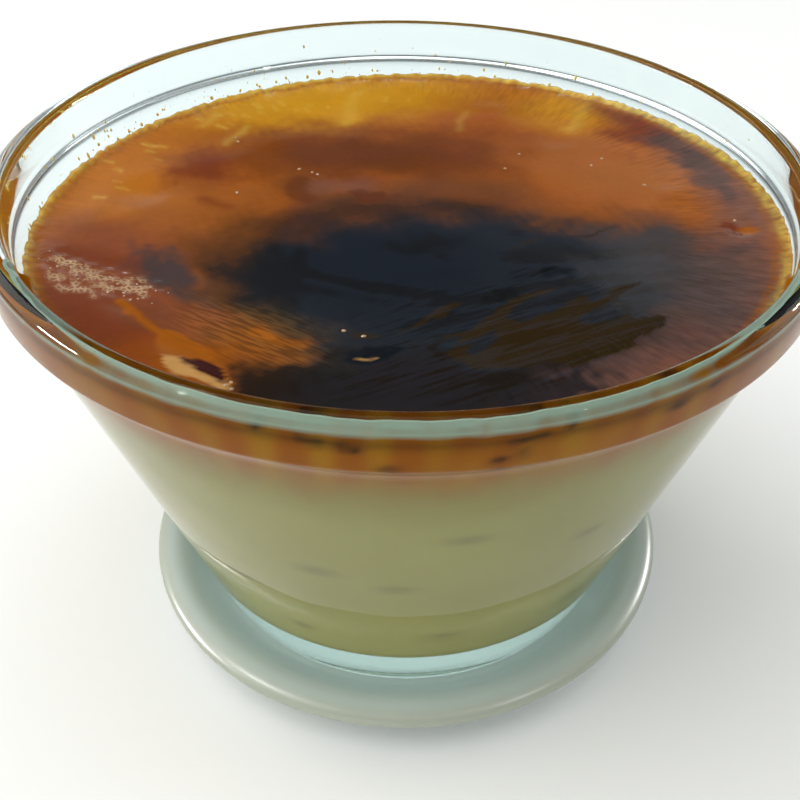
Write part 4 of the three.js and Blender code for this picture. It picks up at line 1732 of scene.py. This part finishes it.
@dataclass
class Studio:
    """The pale floor, the lamps, the surrounding light and the camera."""

    camera_at: Triple = (2.145, -108.59, 115.15)
    yaw: float = 0.027
    pitch: float = 0.679
    roll: float = 0.035
    lens: float = 47.45
    sensor: float = 36.0
    image: float = 800.0
    principal_x: float = 447.42
    clip: Point = (5.0, 20000.0)
    floor_half: float = 2500.0
    floor_points: int = 9
    surround: Triple = (0.94, 0.98, 1.0)
    surround_strength: Point = (0.48, 0.06)
    flag_at: Triple = (0.0, 0.86, 0.51)
    flag_spread: Point = (0.82, 0.93)
    lamps: tuple[Softbox, ...] = (
        Softbox("overhead", (-60.0, 20.0, 900.0), (1000.0, 900.0), 3.4, (1.0, 0.99, 0.97)),
        Softbox("key_left", (-620.0, 60.0, 540.0), (1100.0, 900.0), 5.2, (1.0, 0.98, 0.95)),
        Softbox("back_window", (60.0, 1020.0, 660.0), (460.0, 200.0), 0.06, (0.28, 0.55, 1.0)),
        Softbox("front_fill", (-320.0, -800.0, 300.0), (600.0, 400.0), 1.2, (1.0, 0.99, 0.96)),
        Softbox("right_fill", (760.0, 260.0, 330.0), (500.0, 500.0), 1.2, (0.97, 0.99, 1.0)),
        Softbox("left_strip", (-820.0, 20.0, 400.0), (220.0, 34.0), 9.0, glint_only=True),
        Softbox("left_high_strip", (-520.0, -60.0, 820.0), (60.0, 26.0), 2.4, glint_only=True),
        Softbox("right_strip", (720.0, 400.0, 400.0), (200.0, 34.0), 6.0, glint_only=True),
        Softbox("right_spot", (430.0, -250.0, 760.0), (24.0, 24.0), 1.0, glint_only=True),
        Softbox(
            "base_glow", (0.0, 0.0, 5.4), (38.0, 38.0), 0.0036, (0.90, 0.99, 0.99), (0.0, 0.0, 10.0),
            hidden=True,
        ),
    )

    def build_camera(self) -> None:
        """Stands the camera where the photograph was taken, turned by yaw, pitch and roll."""
        forward = np.array([
            np.sin(self.yaw) * np.cos(self.pitch), np.cos(self.yaw) * np.cos(self.pitch), -np.sin(self.pitch),
        ])
        level = np.array([np.cos(self.yaw), -np.sin(self.yaw), 0.0])
        upright = np.cross(level, forward)
        right = level * np.cos(self.roll) + upright * np.sin(self.roll)
        up = upright * np.cos(self.roll) - level * np.sin(self.roll)
        data = bpy.data.cameras.new("camera")
        data.sensor_width = self.sensor
        data.lens = self.lens
        data.shift_x = (self.image / 2 - self.principal_x) / self.image
        data.clip_start, data.clip_end = (distance * MM for distance in self.clip)
        holder = bpy.data.objects.new("camera", data)
        bpy.context.scene.collection.objects.link(holder)
        turn = Matrix(np.column_stack([right, up, -forward]).tolist()).to_4x4()
        turn.translation = [v * MM for v in self.camera_at]
        holder.matrix_world = turn
        bpy.context.scene.camera = holder

    def build_floor(self, effects: SharedEffects) -> bpy.types.Object:
        """Lays the floor at the saucer's foot, as a grid of two level parameters.

        Args:
            effects: The shared node groups.

        Returns:
            The floor.
        """
        side = np.linspace(-self.floor_half, self.floor_half, self.floor_points)
        x, y = np.meshgrid(side, side)
        vertices = np.column_stack([x.ravel(), y.ravel(), np.zeros(x.size)])
        here = np.arange(x.size).reshape(x.shape)
        quads = np.stack([here[:-1, :-1], here[:-1, 1:], here[1:, 1:], here[1:, :-1]], axis=-1).reshape(-1, 4)
        floor = mesh_piece("floor", vertices, quads, np.zeros((0, 3), int))
        floor.data.materials.append(FloorFinish().build(effects))
        return floor

    def build_light(self) -> None:
        """Sets the dim surrounding light, the lamps and plain colour management."""
        world = bpy.data.worlds.new("surround")
        world.use_nodes = True
        graph = Graph(world.node_tree)
        sky = world.node_tree.nodes["Background"]
        sky.inputs["Color"].default_value = (*self.surround, 1)
        direction = graph.node("TexCoord").outputs["Generated"]
        facing = graph.node("VectorMath", {0: direction, 1: self.flag_at}, operation="DOT_PRODUCT").outputs[1]
        strength = graph.rerange(facing, self.flag_spread, self.surround_strength)
        world.node_tree.links.new(strength, sky.inputs["Strength"])
        bpy.context.scene.world = world
        bpy.context.scene.view_settings.view_transform = "Standard"
        for lamp in self.lamps:
            lamp.build()


def main() -> None:
    """Builds the pieces round the frame in order."""
    logging.basicConfig(level=logging.INFO, format="%(message)s")
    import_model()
    effects = SharedEffects()
    cup = GlassCup.from_frame()
    custard = Custard(cup)
    made = (
        Saucer.from_frame().build(effects),
        cup.build(),
        custard.build(effects),
        Splashes(custard).build(effects),
        Specks(custard).build(effects),
    )
    for piece in made:
        log.info("%s: %d vertices, %d faces", piece.name, len(piece.data.vertices), len(piece.data.polygons))
    studio = Studio()
    studio.build_floor(effects)
    studio.build_light()
    studio.build_camera()


if __name__ == "__main__":
    main()
